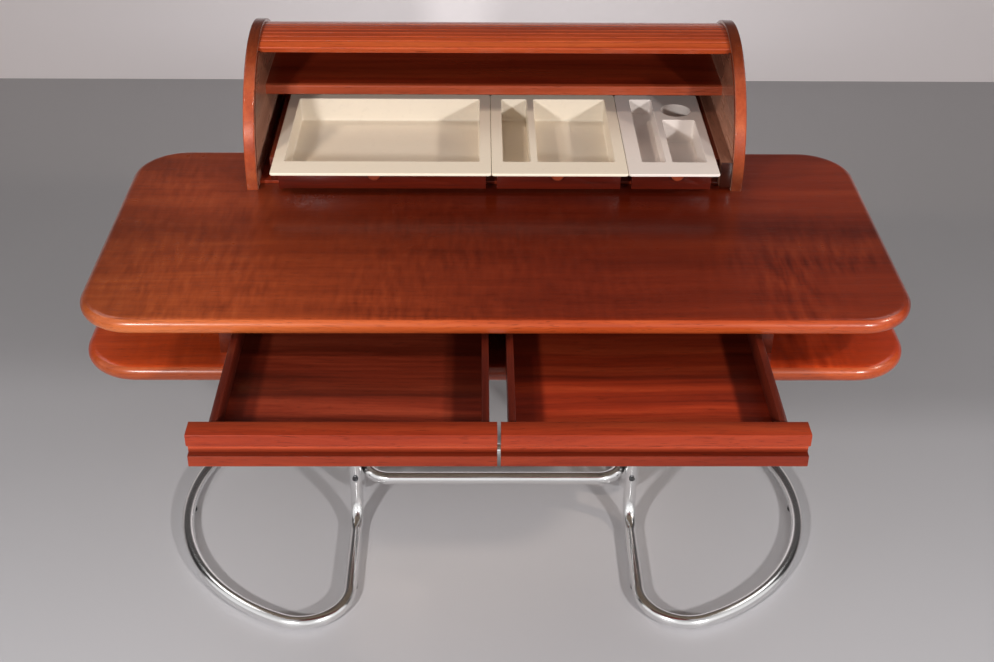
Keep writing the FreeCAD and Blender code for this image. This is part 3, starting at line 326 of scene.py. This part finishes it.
def timber(place, grain, seed):
    """Tone of the grain, 0 in dark streaks and 1 in light ones, and its open pores."""
    drift = place.node("TexNoise", {}, {"Vector": place, "Scale": 1.9, "Detail": 2.0}, "Color")
    bent = place.node(
        "VectorMath", {"operation": "MULTIPLY_ADD"}, {0: drift, 1: (grain_wander,) * 3, 2: place}
    )

    def drawn(along, across):
        """Coordinates for a noise with so many patches to the metre along and across the grain."""
        scale = [across] * 3
        scale[grain] = along
        offset = (seed, seed * 1.7, seed * 0.6)
        return bent.node("Mapping", {}, {"Vector": bent, "Location": offset, "Scale": scale})

    streak = noise(drawn(0.7, 17.0), 1.0, 5.0, 0.6)
    line = noise(drawn(4.0, 150.0), 1.0)
    pore = noise(drawn(26.0, 800.0), 1.0, 1.0)
    tone = 0.5 + (streak - 0.5) * 2.0 + (line - 0.5) * 0.55
    return tone, rise(pore, 0.60, 0.72)


def grained(tone, tones, spread=(0.10, 0.48, 0.90)):
    """Colour of the wood by its tone, from a dark, a middle and a light one."""
    return ramp(tone, zip(spread, tones))


pore_dirt = (0.020, 0.004, 0.002)


def lacquer(place, colour, tone, pores, gloss=0.30, coat=0.5, coat_gloss=0.13):
    """Ends a wood finish: clear lacquer that sinks a little into the pores."""
    wiped = noise(place, 5.0, 3.0)
    surface(
        place,
        {
            "Base Color": mixed(pores * 0.45, colour, pore_dirt),
            "Roughness": gloss + (wiped - 0.5) * 0.14 + (0.5 - tone) * 0.06,
            "Specular IOR Level": 0.2,
            "Coat Weight": coat - pores * 0.3,
            "Coat Roughness": coat_gloss,
            "Normal": bump(tone * 0.25 - pores, 0.00025, 0.35),
        },
    )


red_veneer = ((0.100, 0.0090, 0.0025), (0.205, 0.0230, 0.0066), (0.310, 0.0450, 0.0130))
orange_veneer = ((0.225, 0.0360, 0.0090), (0.390, 0.0740, 0.0190), (0.540, 0.1250, 0.0340))
red_lipping = ((0.260, 0.0320, 0.0070), (0.400, 0.0560, 0.0110), (0.520, 0.0980, 0.0220))
orange_lipping = ((0.420, 0.0850, 0.0210), (0.580, 0.1400, 0.0350), (0.700, 0.2000, 0.0550))
backing_veneer = ((0.1, (0.30, 0.235, 0.165)), (0.9, (0.46, 0.375, 0.275)))
wide_spread = (0.05, 0.50, 0.95)
even_spread = (0.10, 0.50, 0.90)
# Painted shade and light: the middle darkens towards the back, where the top mirrors the dark roll
# top, the back ends are lighter and cooler, where it mirrors the pale wall, and all of it lightens
# towards the front.
middle_painted_shading = (
    (0.0, (0.36, 0.26, 0.20)),
    (0.4, (0.53, 0.47, 0.46)),
    (1.0, (0.94, 0.94, 0.94)),
)
end_painted_shading = (
    (0.0, (0.95, 1.0, 1.1)),
    (0.26, (0.54, 0.52, 0.54)),
    (1.0, (1.0, 1.02, 1.0)),
)
slab_corner = 0.109
lipping_width = (0.0070, 0.0100)
lipping_end = (-0.335, -0.27)
backing_depth = (0.0005, 0.0015)
near_to_far = (-0.40, 0.20)
middle_to_end = (0.38, 0.62)
ripple_fade = (-0.05, 0.45)
stroke_start, stroke_fade = (0.30, 0.60), (-0.20, 0.15)
left_fade, right_fade = (-0.80, 0.20), (0.40, 0.70)


def slab_finish(name, seed, warm_left, warm_right, ripple_depth, stain_and_painted_light):
    """Figured veneer inside a lighter solid lipping, by the distance from the slab's outline."""
    material, place = begin(f"{name}_wood")
    across, along, height = axes(place)
    tone, pores = timber(place, sideways, seed)
    upright = place.node("Mapping", {}, {"Vector": place, "Scale": (74.0, 15.0, 15.0)})
    leaning = place.node(
        "Mapping",
        {},
        {"Vector": place, "Rotation": (0, 0, math.radians(-20)), "Scale": (58.0, 11.0, 11.0)},
    )
    cloud = noise(place, 3.1)
    curly = (1 - rise(across, *ripple_fade)) * rise(cloud, 0.30, 0.60)
    right_front = rise(across, *stroke_start) * (1 - rise(along, *stroke_fade))
    stroked = right_front * rise(cloud, 0.35, 0.55)
    ripple = (noise(upright, 1.0) - 0.5) * curly * 0.9
    ripple = ripple + (noise(leaning, 1.0) - 0.5) * stroked * 1.8
    figured = 0.5 + (tone - 0.5) * 0.62 + ripple * ripple_depth
    nearness = 1 - rise(along, *near_to_far)
    # The share of orange veneer: on the left, growing towards the front, and on the right.
    orange_share = (1 - rise(across, *left_fade)) * (0.42 + nearness * 0.55) * warm_left
    orange_share = orange_share + rise(across, *right_fade) * warm_right
    red = grained(figured, red_veneer, wide_spread)
    orange = grained(figured, orange_veneer, wide_spread)
    # Painted shade and light from the painted shading ramps, by nearness to the front.
    painted_shading = mixed(
        rise(across.math("ABSOLUTE"), *middle_to_end),
        ramp(nearness, middle_painted_shading),
        ramp(nearness, end_painted_shading),
    )
    face = tinted(tinted(mixed(orange_share, red, orange), stain_and_painted_light), painted_shading)
    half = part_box("desktop")[1]
    past_corner = [
        (value.math("ABSOLUTE") - (reach - slab_corner)).math("MAXIMUM")
        for value, reach in ((across, half.x), (along, half.y))
    ]
    squared = past_corner[0] * past_corner[0] + past_corner[1] * past_corner[1]
    from_edge = slab_corner - squared.math("SQRT")
    lip_tone = timber(place, sideways, seed + 3.0)[0]
    red_lip = grained(lip_tone, red_lipping, even_spread)
    orange_lip = grained(lip_tone, orange_lipping, even_spread)
    lip = mixed(rise(along, *lipping_end), mixed(orange_share, red_lip, orange_lip), face)
    lipping = 1 - rise(from_edge, *lipping_width)
    below = 1 - rise(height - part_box(name)[0].z, *backing_depth)
    colour = mixed(below, mixed(lipping, face, lip), ramp(tone, backing_veneer))
    lacquer(place, colour, figured, pores, coat_gloss=0.22)
    return material


# The last argument lifts the lower slab's colour: painted light where the desk top shades it.
lower_veneer = slab_finish(
    "lower_slab",
    seed=4.0,
    warm_left=0.55,
    warm_right=0.10,
    ripple_depth=0.6,
    stain_and_painted_light=(1.75, 1.25, 0.95),
)
dress(lower_veneer, "lower_slab")


# Drawer case. Two sides, a back and a middle divider stand between the slabs and are glued to
# them. They are solid boards, lacquered, with their sharp edges taken off.


def board_finish(name, grain, seed, tones, gloss=0.32, coat=0.4):
    material, place = begin(name)
    tone, pores = timber(place, grain, seed)
    lacquer(place, grained(tone, tones), tone, pores, gloss, coat)
    return material


board_ease = 0.0009
flat, arris = math.radians(1), math.radians(30)
same_corner = 1e-5


def eased(name, body, material, ease=board_ease):
    """A copy of a CAD board with its sharp edges planed off, which stands for the node."""
    mesh = bmesh.new()
    mesh.from_mesh(nodes[name].data)
    bmesh.ops.remove_doubles(mesh, verts=mesh.verts, dist=same_corner)
    bmesh.ops.dissolve_limit(mesh, angle_limit=flat, verts=mesh.verts, edges=mesh.edges)
    sharp = [edge for edge in mesh.edges if edge.calc_face_angle(0) > arris]
    bmesh.ops.bevel(
        mesh,
        geom=sharp,
        offset=ease,
        offset_type="OFFSET",
        affect="EDGES",
        segments=2,
        profile=0.5,
        material=-1,
    )
    made = piece(mesh, f"{name}_board", body, material)
    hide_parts(name)


deep_red = ((0.055, 0.0065, 0.003), (0.120, 0.0160, 0.006), (0.190, 0.0300, 0.010))
case_along = board_finish(
    "case_side_wood", front_to_back, 9.0, deep_red, gloss=0.36, coat=0.15
)
case_across = board_finish("case_back_wood", sideways, 10.0, deep_red)
for name in ("case_side_left", "case_side_right", "centre_divider"):
    eased(name, "desk", case_along)
eased("case_back", "desk", case_across)


# Drawer runners. Narrow hardwood strips on the case sides and the divider, each of which runs in
# a groove of a drawer side and carries it. They are waxed, and paler than the case.
fine_ease = 0.0006
pale_red = ((0.090, 0.020, 0.008), (0.170, 0.045, 0.018), (0.260, 0.080, 0.034))
runner_wood = board_finish("runner_wood", front_to_back, 12.0, pale_red, gloss=0.45, coat=0.1)
for side in ("left", "right"):
    for edge in ("inner", "outer"):
        eased(f"{side}_runner_{edge}", "desk", runner_wood, fine_ease)


# Desk top. The same board as the lower slab, with the best sheet of veneer: a ripple figure
# runs across the grain on the left and at the right front corner, and the left is more orange.
# Painted shade darkens it in front of the roll top, and painted light brightens it towards the
# front.
top_veneer = slab_finish(
    "desktop", seed=1.3, warm_left=1.0, warm_right=0.0, ripple_depth=1.0, stain_and_painted_light=(1.0, 1.0, 1.0)
)
dress(top_veneer, "desktop")


# Drawer fronts. A solid rail with a rolled nose above, a finger groove and a lip below. Their
# colour by height is darker on the lip, with painted shadow at the bottom of the groove, painted
# light on its upper face and a painted highlight under the nose. The top face is lighter at its
# front edge and darker towards the back.


def grey(level):
    return (level, level, level)


front_tones = ((0.230, 0.0220, 0.007), (0.350, 0.039, 0.012), (0.47, 0.064, 0.020))
# Painted shade and light by height: a darker lip, painted shadow at the groove's bottom, painted
# light on its upper face and a painted highlight under the nose.
painted_shade_by_level = (
    (0.00, (0.68, 0.64, 0.60)),
    (0.33, (0.62, 0.58, 0.55)),
    (0.35, (0.30, 0.27, 0.28)),
    (0.42, (0.55, 0.55, 0.62)),
    (0.50, (1.05, 1.20, 1.50)),
    (0.60, (1.20, 1.45, 1.90)),
    (0.68, (0.96, 0.96, 0.94)),
)
# Lighter at the front edge of the top face and darker towards the back.
tone_front_to_back = ((0.0, grey(1.0)), (0.10, grey(1.26)), (1.0, grey(0.52)))
front_wood, place = begin("drawer_front_wood")
tone, pores = timber(place, sideways, 15.0)
low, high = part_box("left_drawer_front")
level = (axes(place)[2] - low.z) / (high.z - low.z)
inward = (axes(place)[1] - low.y) / (high.y - low.y)
front_with_painted_shade = tinted(grained(tone, front_tones), ramp(level, painted_shade_by_level))
front_with_painted_shade = tinted(front_with_painted_shade, ramp(inward, tone_front_to_back))
lacquer(place, front_with_painted_shade, tone, pores, gloss=0.34, coat=0.15)
dress(front_wood, "left_drawer_front", "right_drawer_front")


# Drawer boxes. Thin sides and a back hold a bottom in a groove. They have a satin lacquer. The
# left bottom is browner. Painted light and shadow cross each bottom in bands, and painted shade
# darkens it along the sides.
box_tones = ((0.032, 0.0036, 0.0018), (0.070, 0.0080, 0.0038), (0.115, 0.0155, 0.007))
satin = {"gloss": 0.38, "coat": 0.3}
box_side_wood = board_finish("drawer_side_wood", front_to_back, 18.0, box_tones, **satin)
box_back_wood = board_finish("drawer_back_wood", sideways, 19.0, box_tones, **satin)
brown_bottom = ((0.070, 0.0080, 0.003), (0.145, 0.0175, 0.007), (0.235, 0.0360, 0.015))
red_bottom = ((0.092, 0.0080, 0.0024), (0.170, 0.0165, 0.0048), (0.255, 0.0330, 0.010))
# Painted light and shadow in bands from the front to the back of each bottom.
brown_painted_bands = ((0.12, grey(2.0)), (0.28, grey(1.25)), (0.30, grey(0.68)), (1.0, grey(0.80)))
red_painted_bands = (
    (0.12, grey(2.40)),
    (0.40, grey(1.10)),
    (0.42, grey(0.58)),
    (0.58, grey(0.58)),
    (0.60, grey(0.80)),
)
band_wander = 0.012
# Painted shade along the sides of each bottom, where they cast their shadows.
side_painted_shade = (0.50, 0.40, 0.38)
side_painted_shade_reach = (0.050, 0.064)
box_ease = 0.0012
for side, seed, bottom_tones, painted_bands in (
    ("left", 21.0, brown_bottom, brown_painted_bands),
    ("right", 26.0, red_bottom, red_painted_bands),
):
    body = f"{side}_drawer"
    bottom_wood, place = begin(f"{body}_bottom_wood")
    tone, pores = timber(place, sideways, seed)
    low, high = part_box(f"{body}_bottom")
    middle = (low.x + high.x) / 2
    across, along = axes(place)[:2]
    wavy = along + (noise(place, 9.0) - 0.5) * band_wander
    painted_band = ramp((wavy - low.y) / (high.y - low.y), painted_bands)
    rubbed_and_painted_bands = tinted(grained(tone, bottom_tones), painted_band)
    from_side = (high.x - middle) - (across - middle).math("ABSOLUTE")
    colour = mixed(rise(from_side, *side_painted_shade_reach), tinted(rubbed_and_painted_bands, side_painted_shade), rubbed_and_painted_bands)
    lacquer(place, colour, tone, pores, **satin)
    dress(bottom_wood, f"{body}_bottom")
    for word in ("inner_side", "outer_side"):
        eased(f"{body}_{word}", body, box_side_wood, box_ease)
    eased(f"{body}_back", body, box_back_wood, box_ease)


# Roll top sides. Half-round boards stand on the desk top and guide the tambour in a groove.
# Their outer faces are veneered, and a lighter solid strip is bent round the edge, which painted
# shade darkens at the crest and low down, more on the right. The inner faces are paler, a painted
# sheen, and painted shade darkens them towards the crest.
roll_axis = Vector((0.0, 0.400, 0.765))


def from_roll_axis(place):
    """Distance from the axis of the roll, and angle above level at the back in turns."""
    offset = [value - centre for value, centre in zip(axes(place), roll_axis)]
    radius = (offset[1] * offset[1] + offset[2] * offset[2]).math("SQRT")
    return radius, offset[2].math("ARCTAN2", offset[1]) / math.tau


face_tones = ((0.100, 0.0120, 0.004), (0.190, 0.026, 0.009), (0.29, 0.048, 0.016))
strip_tones = ((0.290, 0.0420, 0.012), (0.430, 0.072, 0.020), (0.56, 0.120, 0.036))
# Paler inner faces are a painted sheen, and painted shade darkens them towards the crest.
inner_tones_painted_sheen = ((0.360, 0.1720, 0.116), (0.520, 0.260, 0.178), (0.64, 0.340, 0.236))
inner_painted_shade = (0.42, 0.36, 0.34)
inner_painted_shade_reach = (0.30, 0.62)
inner_skin = (0.0002, 0.0006)
# Painted shade on the bent strip: darker at the crest and low down, more so on the right.
crest_painted_shade = (0.30, 0.34, 0.40)
left_edge_painted_shade = ((0.1, grey(0.64)), (0.4, grey(0.98)), (0.7, grey(0.85)), (0.97, crest_painted_shade))
right_edge_painted_shade = ((0.1, grey(0.31)), (0.4, grey(0.94)), (0.7, grey(0.85)), (0.97, crest_painted_shade))
left_to_right = (-0.1, 0.1)
arch_low, arch_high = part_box("rolltop_side_left")
bent_strip_thickness = 0.0045
bent_strip_joint = 0.001
strip_radius = arch_high.z - roll_axis.z - bent_strip_thickness
inner_face_x = -arch_high.x
arch_wood, place = begin("rolltop_side_wood")
tone, pores = timber(place, front_to_back, 30.0)
across, height = axes(place)[::2]
level = (height - arch_low.z) / (arch_high.z - arch_low.z)
on_right = rise(across, *left_to_right)
edge_painted_shade = mixed(on_right, ramp(level, left_edge_painted_shade), ramp(level, right_edge_painted_shade))
bent_strip = tinted(grained(tone, strip_tones), edge_painted_shade)
on_edge = rise(from_roll_axis(place)[0], strip_radius, strip_radius + bent_strip_joint)
outside = mixed(on_edge, grained(tone, face_tones), bent_strip)
inner_painted_sheen = grained(tone, inner_tones_painted_sheen)
inside = mixed(rise(level, *inner_painted_shade_reach), inner_painted_sheen, tinted(inner_painted_sheen, inner_painted_shade))
inner_face = 1 - rise(across.math("ABSOLUTE") - inner_face_x, *inner_skin)
lacquer(place, mixed(inner_face, outside, inside), tone, pores, gloss=0.28, coat=0.45)
dress(arch_wood, "rolltop_side_left", "rolltop_side_right")


# Roll top floor and back. A thin veneered board lies under the trays, and a bent one closes the
# roll top inside the tambour's path. Both are glued between the sides, stained dark, and have
# little gloss.
dark_tones = ((0.120, 0.0105, 0.003), (0.220, 0.0220, 0.006), (0.330, 0.0410, 0.013))
inner_wood = board_finish("rolltop_inner_wood", sideways, 34.0, dark_tones, gloss=0.42, coat=0.2)
eased("rolltop_floor", "desk", inner_wood, fine_ease)
dress(inner_wood, "rolltop_back")


# Shelf. A veneered board across the roll top above the trays, glued between its sides. A lighter
# solid strip is glued along its front and worked to a round edge.
shelf_top_tones = ((0.090, 0.0085, 0.003), (0.180, 0.019, 0.006), (0.27, 0.036, 0.011))
shelf_strip_tones = ((0.230, 0.0360, 0.013), (0.350, 0.064, 0.025), (0.46, 0.100, 0.040))
shelf_strip_width = (0.0115, 0.0125)
shelf_wood, place = begin("shelf_wood")
tone, pores = timber(place, sideways, 37.0)
from_front = axes(place)[1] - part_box("rolltop_shelf")[0].y
behind_strip = rise(from_front, *shelf_strip_width)
colour = mixed(behind_strip, grained(tone, shelf_strip_tones), grained(tone, shelf_top_tones))
lacquer(place, colour, tone, pores, gloss=0.30, coat=0.4)
dress(shelf_wood, "rolltop_shelf")


# Tray rails. Four hardwood rails with rebated tops stand on the roll top's floor and carry the
# flanges of the trays.
rail_wood = board_finish("rail_wood", front_to_back, 41.0, deep_red, gloss=0.42, coat=0.2)
for word in ("left", "centre_left", "centre_right", "right"):
    eased(f"tray_rail_{word}", "desk", rail_wood, fine_ease)


# Trays. Three trays pressed from plastic sheet: a wide cream one for paper, a cream one with
# two wells, and a cooler white one for pens with a cup set in it. They have a soft gloss,
# yellowed a little unevenly and scratched finely in the wells.


tray_dust = (0.45, 0.38, 0.30)


def tray_finish(name, clean, aged):
    material, place = begin(name)
    ageing = noise(place, 4.0, 4.0)
    dust = rise(noise(place, 95.0, 4.0), 0.55, 0.80)
    drawn = place.node("Mapping", {}, {"Vector": place, "Scale": (60.0, 900.0, 60.0)})
    scratch = rise(noise(drawn, 1.0), 0.66, 0.74)
    surface(
        place,
        {
            "Base Color": mixed(dust * 0.10, mixed(ageing, clean, aged), tray_dust),
            "Roughness": 0.34 + ageing * 0.12 + scratch * 0.12,
            "Coat Weight": 0.15,
            "Coat Roughness": 0.2,
            "Normal": bump(noise(place, 220.0) - scratch * 0.5, 0.0001, 0.4),
        },
    )
    return material


cream = tray_finish("cream_plastic", clean=(0.85, 0.78, 0.66), aged=(0.83, 0.74, 0.60))
cool_white = tray_finish("grey_white_plastic", clean=(0.80, 0.74, 0.70), aged=(0.78, 0.71, 0.66))
dress(cream, "large_tray", "medium_tray")
dress(cool_white, "small_tray", "small_tray_cup")


# Tray fronts and filler. A thin wooden board closes the space under each tray's flange, and a
# waxed strip fills the gap between the row and the roll top's right side. Its grey-brown colour is
# a painted reflection of the tray beside it, and painted shade darkens its front end.
front_board_ease = 0.0008
front_board_tones = ((0.050, 0.0035, 0.001), (0.095, 0.0075, 0.002), (0.150, 0.0150, 0.004))
front_board_wood = board_finish(
    "tray_front_wood", sideways, 43.0, front_board_tones, gloss=0.36, coat=0.2
)
for word in ("large", "medium", "small"):
    body = f"{word}_tray"
    eased(f"{body}_front", body, front_board_wood, front_board_ease)
# The strip's grey-brown is a painted reflection, and its front end gets painted shade.
filler_painted_sheen_tones = ((0.120, 0.0500, 0.031), (0.190, 0.080, 0.050), (0.26, 0.115, 0.074))
end_painted_shade = (0.030, 0.005, 0.002)
end_painted_shade_depth = (0.001, 0.003)
filler_wood, place = begin("tray_filler_wood")
tone, pores = timber(place, front_to_back, 44.0)
end_grain = 1 - rise(axes(place)[1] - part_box("tray_filler")[0].y, *end_painted_shade_depth)
colour = mixed(end_grain, grained(tone, filler_painted_sheen_tones), end_painted_shade)
lacquer(place, colour, tone, pores, gloss=0.36, coat=0.3)
eased("tray_filler", "desk", filler_wood, box_ease)


# Tray knobs. A turned wooden pull with a rounded rim stands on each tray's front board, and a
# zinc-plated screw from inside the tray holds it.
knob_tones = ((0.160, 0.0240, 0.009), (0.260, 0.0420, 0.015), (0.360, 0.0700, 0.026))
knob_wood = board_finish("knob_wood", front_to_back, 45.0, knob_tones, gloss=0.28, coat=0.8)
for word in ("large", "medium", "small"):
    dress(knob_wood, f"{word}_tray_knob")
    dress(zinc, f"{word}_tray_screw")


# Tambour. Thin wooden slats, rounded outside, and a thicker leading rail, glued side by side on
# a cloth. Each slat is cut from another part of the plank, so its tone differs a little from its
# neighbours'.
slat_tones = ((0.250, 0.0310, 0.008), (0.420, 0.0640, 0.016), (0.560, 0.1150, 0.032))
slat_turn = 4.125 / 360
slat_wood, place = begin("tambour_wood")
tone, pores = timber(place, sideways, 50.0)
count = (from_roll_axis(place)[1] / slat_turn).math("FLOOR")
own_tone = place.node("TexWhiteNoise", {"noise_dimensions": "1D"}, {"W": count}, "Value")
colour = grained(tone + (own_tone - 0.5) * 0.5, slat_tones, wide_spread)
lacquer(place, colour, tone, pores, gloss=0.27, coat=0.6)
dress(slat_wood, "tambour_slats", "tambour_lead_rail")


# Tambour canvas. A plain-weave cloth, stained brown, is glued to the inside of the slats and
# holds them together while they turn.
low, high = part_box("tambour_canvas")
cloth_thickness = 0.0010
cloth_radius = high.z - roll_axis.z - cloth_thickness
cloth_end = math.asin((low.z - roll_axis.z) / cloth_radius)
cloth_start = math.acos((low.y - roll_axis.y) / (cloth_radius + cloth_thickness))
cloth_arc = cloth_start - cloth_end
cloth = bmesh.new()
first = roll_axis + cloth_radius * Vector((0, math.cos(cloth_end), math.sin(cloth_end)))
ends = [cloth.verts.new((side, first.y, first.z)) for side in (low.x, high.x)]
hem = cloth.edges.new(ends)
bmesh.ops.spin(
    cloth, geom=ends + [hem], cent=roll_axis, axis=(1, 0, 0), angle=cloth_arc, steps=72
)
bmesh.ops.recalc_face_normals(cloth, faces=cloth.faces)
bmesh.ops.solidify(cloth, geom=list(cloth.faces), thickness=cloth_thickness)
dark_thread, pale_thread = (0.045, 0.020, 0.011), (0.130, 0.070, 0.042)
threads_per_metre = 900.0
canvas, place = begin("tambour_canvas")
weft = (axes(place)[0] * (threads_per_metre * math.tau)).math("SINE")
around = from_roll_axis(place)[1] * (math.tau * cloth_radius * threads_per_metre * math.tau)
weave = 0.5 + weft * around.math("SINE") * 0.5
stain_and_painted_light = noise(place, 14.0, 4.0)
surface(
    place,
    {
        "Base Color": mixed(stain_and_painted_light * 0.6 + weave * 0.4, dark_thread, pale_thread),
        "Roughness": 0.82 + weave * 0.1,
        "Normal": bump(weave, 0.0003, 0.6),
    },
)
backing = piece(cloth, "tambour_canvas_cloth", "tambour", canvas)
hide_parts("tambour_canvas")


# Studio. A grey floor meets a pale wall. Painted light brightens the floor towards the front and
# pools low on the middle of the wall, and painted shade darkens the wall above the desk. Two lamps
# stand in front, two spot lamps shine on the roll top, two broad panels hang over the floor at the
# sides, and one lamp behind the desk lights the wall.
wall_y = 2.45
stage_reach = 30.0
# Painted light brightens the floor towards the front.
floor_back, floor_front = (0.35, 0.34, 0.345), (0.63, 0.62, 0.64)
floor_painted_light_reach = (-0.7, 1.7)
# A painted pool of light on the wall's middle, and painted shade above the desk.
wall_side, wall_painted_pool = (0.86, 0.80, 0.80), (0.99, 0.93, 0.94)
wall_painted_shade_above = (0.10, 0.095, 0.095)
painted_pool_width, painted_pool_foot = (0.3, 1.9), (0.05, 0.30)
wall_painted_shade_reach = (0.55, 1.6)
floor_tone, place = begin("studio_floor")
mottle = noise(place, 2.0, 5.0)
painted_floor_light = 1 - rise(axes(place)[1] + mottle * 0.2, *floor_painted_light_reach)
surface(
    place,
    {
        "Base Color": mixed(painted_floor_light, floor_back, floor_front),
        "Roughness": 0.55,
        "Specular IOR Level": 0.3,
    },
)
wall_tone, place = begin("studio_wall")
across, height = axes(place)[::2]
uneven = height + noise(place, 1.5, 4.0) * 0.1
painted_light_pool = (1 - rise(across.math("ABSOLUTE"), *painted_pool_width)) * rise(uneven, *painted_pool_foot)
colour = mixed(rise(height, *wall_painted_shade_reach), mixed(painted_light_pool, wall_side, wall_painted_pool), wall_painted_shade_above)
paint = place.node("BsdfDiffuse", {}, {"Color": colour})
behind = place.node("NewGeometry", {}, {}, "Backfacing")
seen_through = place.node("BsdfTransparent", {}, {})
one_sided = place.node("MixShader", {}, {0: behind, 1: paint, 2: seen_through})
place.node("OutputMaterial", {}, {"Surface": one_sided})


def stage_plane(name, material, matrix, size):
    mesh = bmesh.new()
    bmesh.ops.create_grid(mesh, x_segments=1, y_segments=1, size=size, matrix=matrix)
    data = bpy.data.meshes.new(name)
    mesh.to_mesh(data)
    mesh.free()
    data.materials.append(material)
    made = bpy.data.objects.new(name, data)
    bpy.context.scene.collection.objects.link(made)


stage_plane("studio_floor", floor_tone, Matrix.Identity(4), stage_reach)
upright = Matrix.Translation((0, wall_y, stage_reach)) @ Matrix.Rotation(math.pi / 2, 4, "X")
stage_plane("studio_wall", wall_tone, upright, stage_reach)


def set_lamp(lamp, spot, aim, power, tint):
    lamp.energy = power
    lamp.color = tint
    stand = bpy.data.objects.new(lamp.name, lamp)
    stand.location = spot
    stand.rotation_mode = "QUATERNION"
    stand.rotation_quaternion = (Vector(aim) - Vector(spot)).to_track_quat("-Z", "Y")
    stand.visible_camera = False
    bpy.context.scene.collection.objects.link(stand)


white, warm = (1.0, 0.98, 0.97), (1.0, 0.84, 0.70)
desk_middle = (0.0, 0.0, 0.70)
roll_top_middle = (0.0, 0.15, 0.78)
for name, spot, aim, power, width in (
    ("lamp_front_left", (-1.47, -2.7, 1.95), desk_middle, 56.0, 0.22),
    ("lamp_front_right", (2.10, -3.2, 2.00), desk_middle, 75.0, 0.22),
    ("lamp_panel_left", (-2.3, 0.7, 2.9), (-2.0, 0.9, 0.0), 17.0, 1.6),
    ("lamp_panel_right", (2.3, 0.7, 2.9), (2.0, 0.9, 0.0), 17.0, 1.6),
    ("lamp_wall", (0.0, 0.9, 0.6), (0.0, wall_y, 0.5), 4.5, 0.4),
):
    soft_box = bpy.data.lights.new(name, "AREA")
    soft_box.shape = "SQUARE"
    soft_box.size = width
    set_lamp(soft_box, spot, aim, power, white)
for name, spot, power, cone in (
    ("lamp_side_left", (-1.3, -0.6, 2.20), 50.0, 46.0),
    ("lamp_side_right", (2.4, -0.9, 2.20), 92.0, 38.0),
):
    snoot = bpy.data.lights.new(name, "SPOT")
    snoot.shadow_soft_size = 0.08
    snoot.spot_size = math.radians(cone)
    snoot.spot_blend = 0.6
    set_lamp(snoot, spot, roll_top_middle, power, warm)

air_by_height = (
    (0.45, (0.18, 0.176, 0.18)),
    (0.52, (0.26, 0.25, 0.25)),
    (0.70, (0.20, 0.195, 0.195)),
    (0.90, (0.16, 0.155, 0.155)),
)
mirrored_by_height = (
    (0.45, (0.50, 0.49, 0.49)),
    (0.55, (0.90, 0.89, 0.89)),
    (0.75, (0.78, 0.77, 0.77)),
    (0.95, (0.45, 0.44, 0.44)),
)
world = bpy.data.worlds.new("studio_air")
world.use_nodes = True
world.node_tree.nodes.clear()
direction = Wire(world.node_tree).node("TexCoord", {}, {}, "Generated")
height = axes(direction)[2] * 0.5 + 0.5
glossy = direction.node("LightPath", {}, {}, "Is Glossy Ray")
air = mixed(glossy, ramp(height, air_by_height), ramp(height, mirrored_by_height))
light = direction.node("Background", {}, {"Color": air, "Strength": 1.0})
direction.node("OutputWorld", {}, {"Surface": light})
bpy.context.scene.world = world


# Camera. It stands in front of the desk, a little left of its middle, and looks down at it as
# the photograph does.
camera_place = (-0.0358, -2.4780, 2.1206)
pitch, yaw, roll = (math.radians(angle) for angle in (33.44, 0.94, -0.59))
forward = Vector(
    (math.sin(yaw) * math.cos(pitch), math.cos(yaw) * math.cos(pitch), -math.sin(pitch))
)
level = Vector((math.cos(yaw), -math.sin(yaw), 0.0))
below = forward.cross(level)
right = level * math.cos(roll) + below * math.sin(roll)
down = below * math.cos(roll) - level * math.sin(roll)
lens = bpy.data.cameras.new("photo_camera")
lens.lens = 50.70
lens.sensor_width = 36.0
lens.sensor_fit = "HORIZONTAL"
camera = bpy.data.objects.new("photo_camera", lens)
turned = Matrix((right, -down, -forward)).transposed().to_4x4()
camera.matrix_world = Matrix.Translation(camera_place) @ turned
bpy.context.scene.collection.objects.link(camera)
bpy.context.scene.camera = camera
bpy.context.scene.view_settings.view_transform = "Standard"
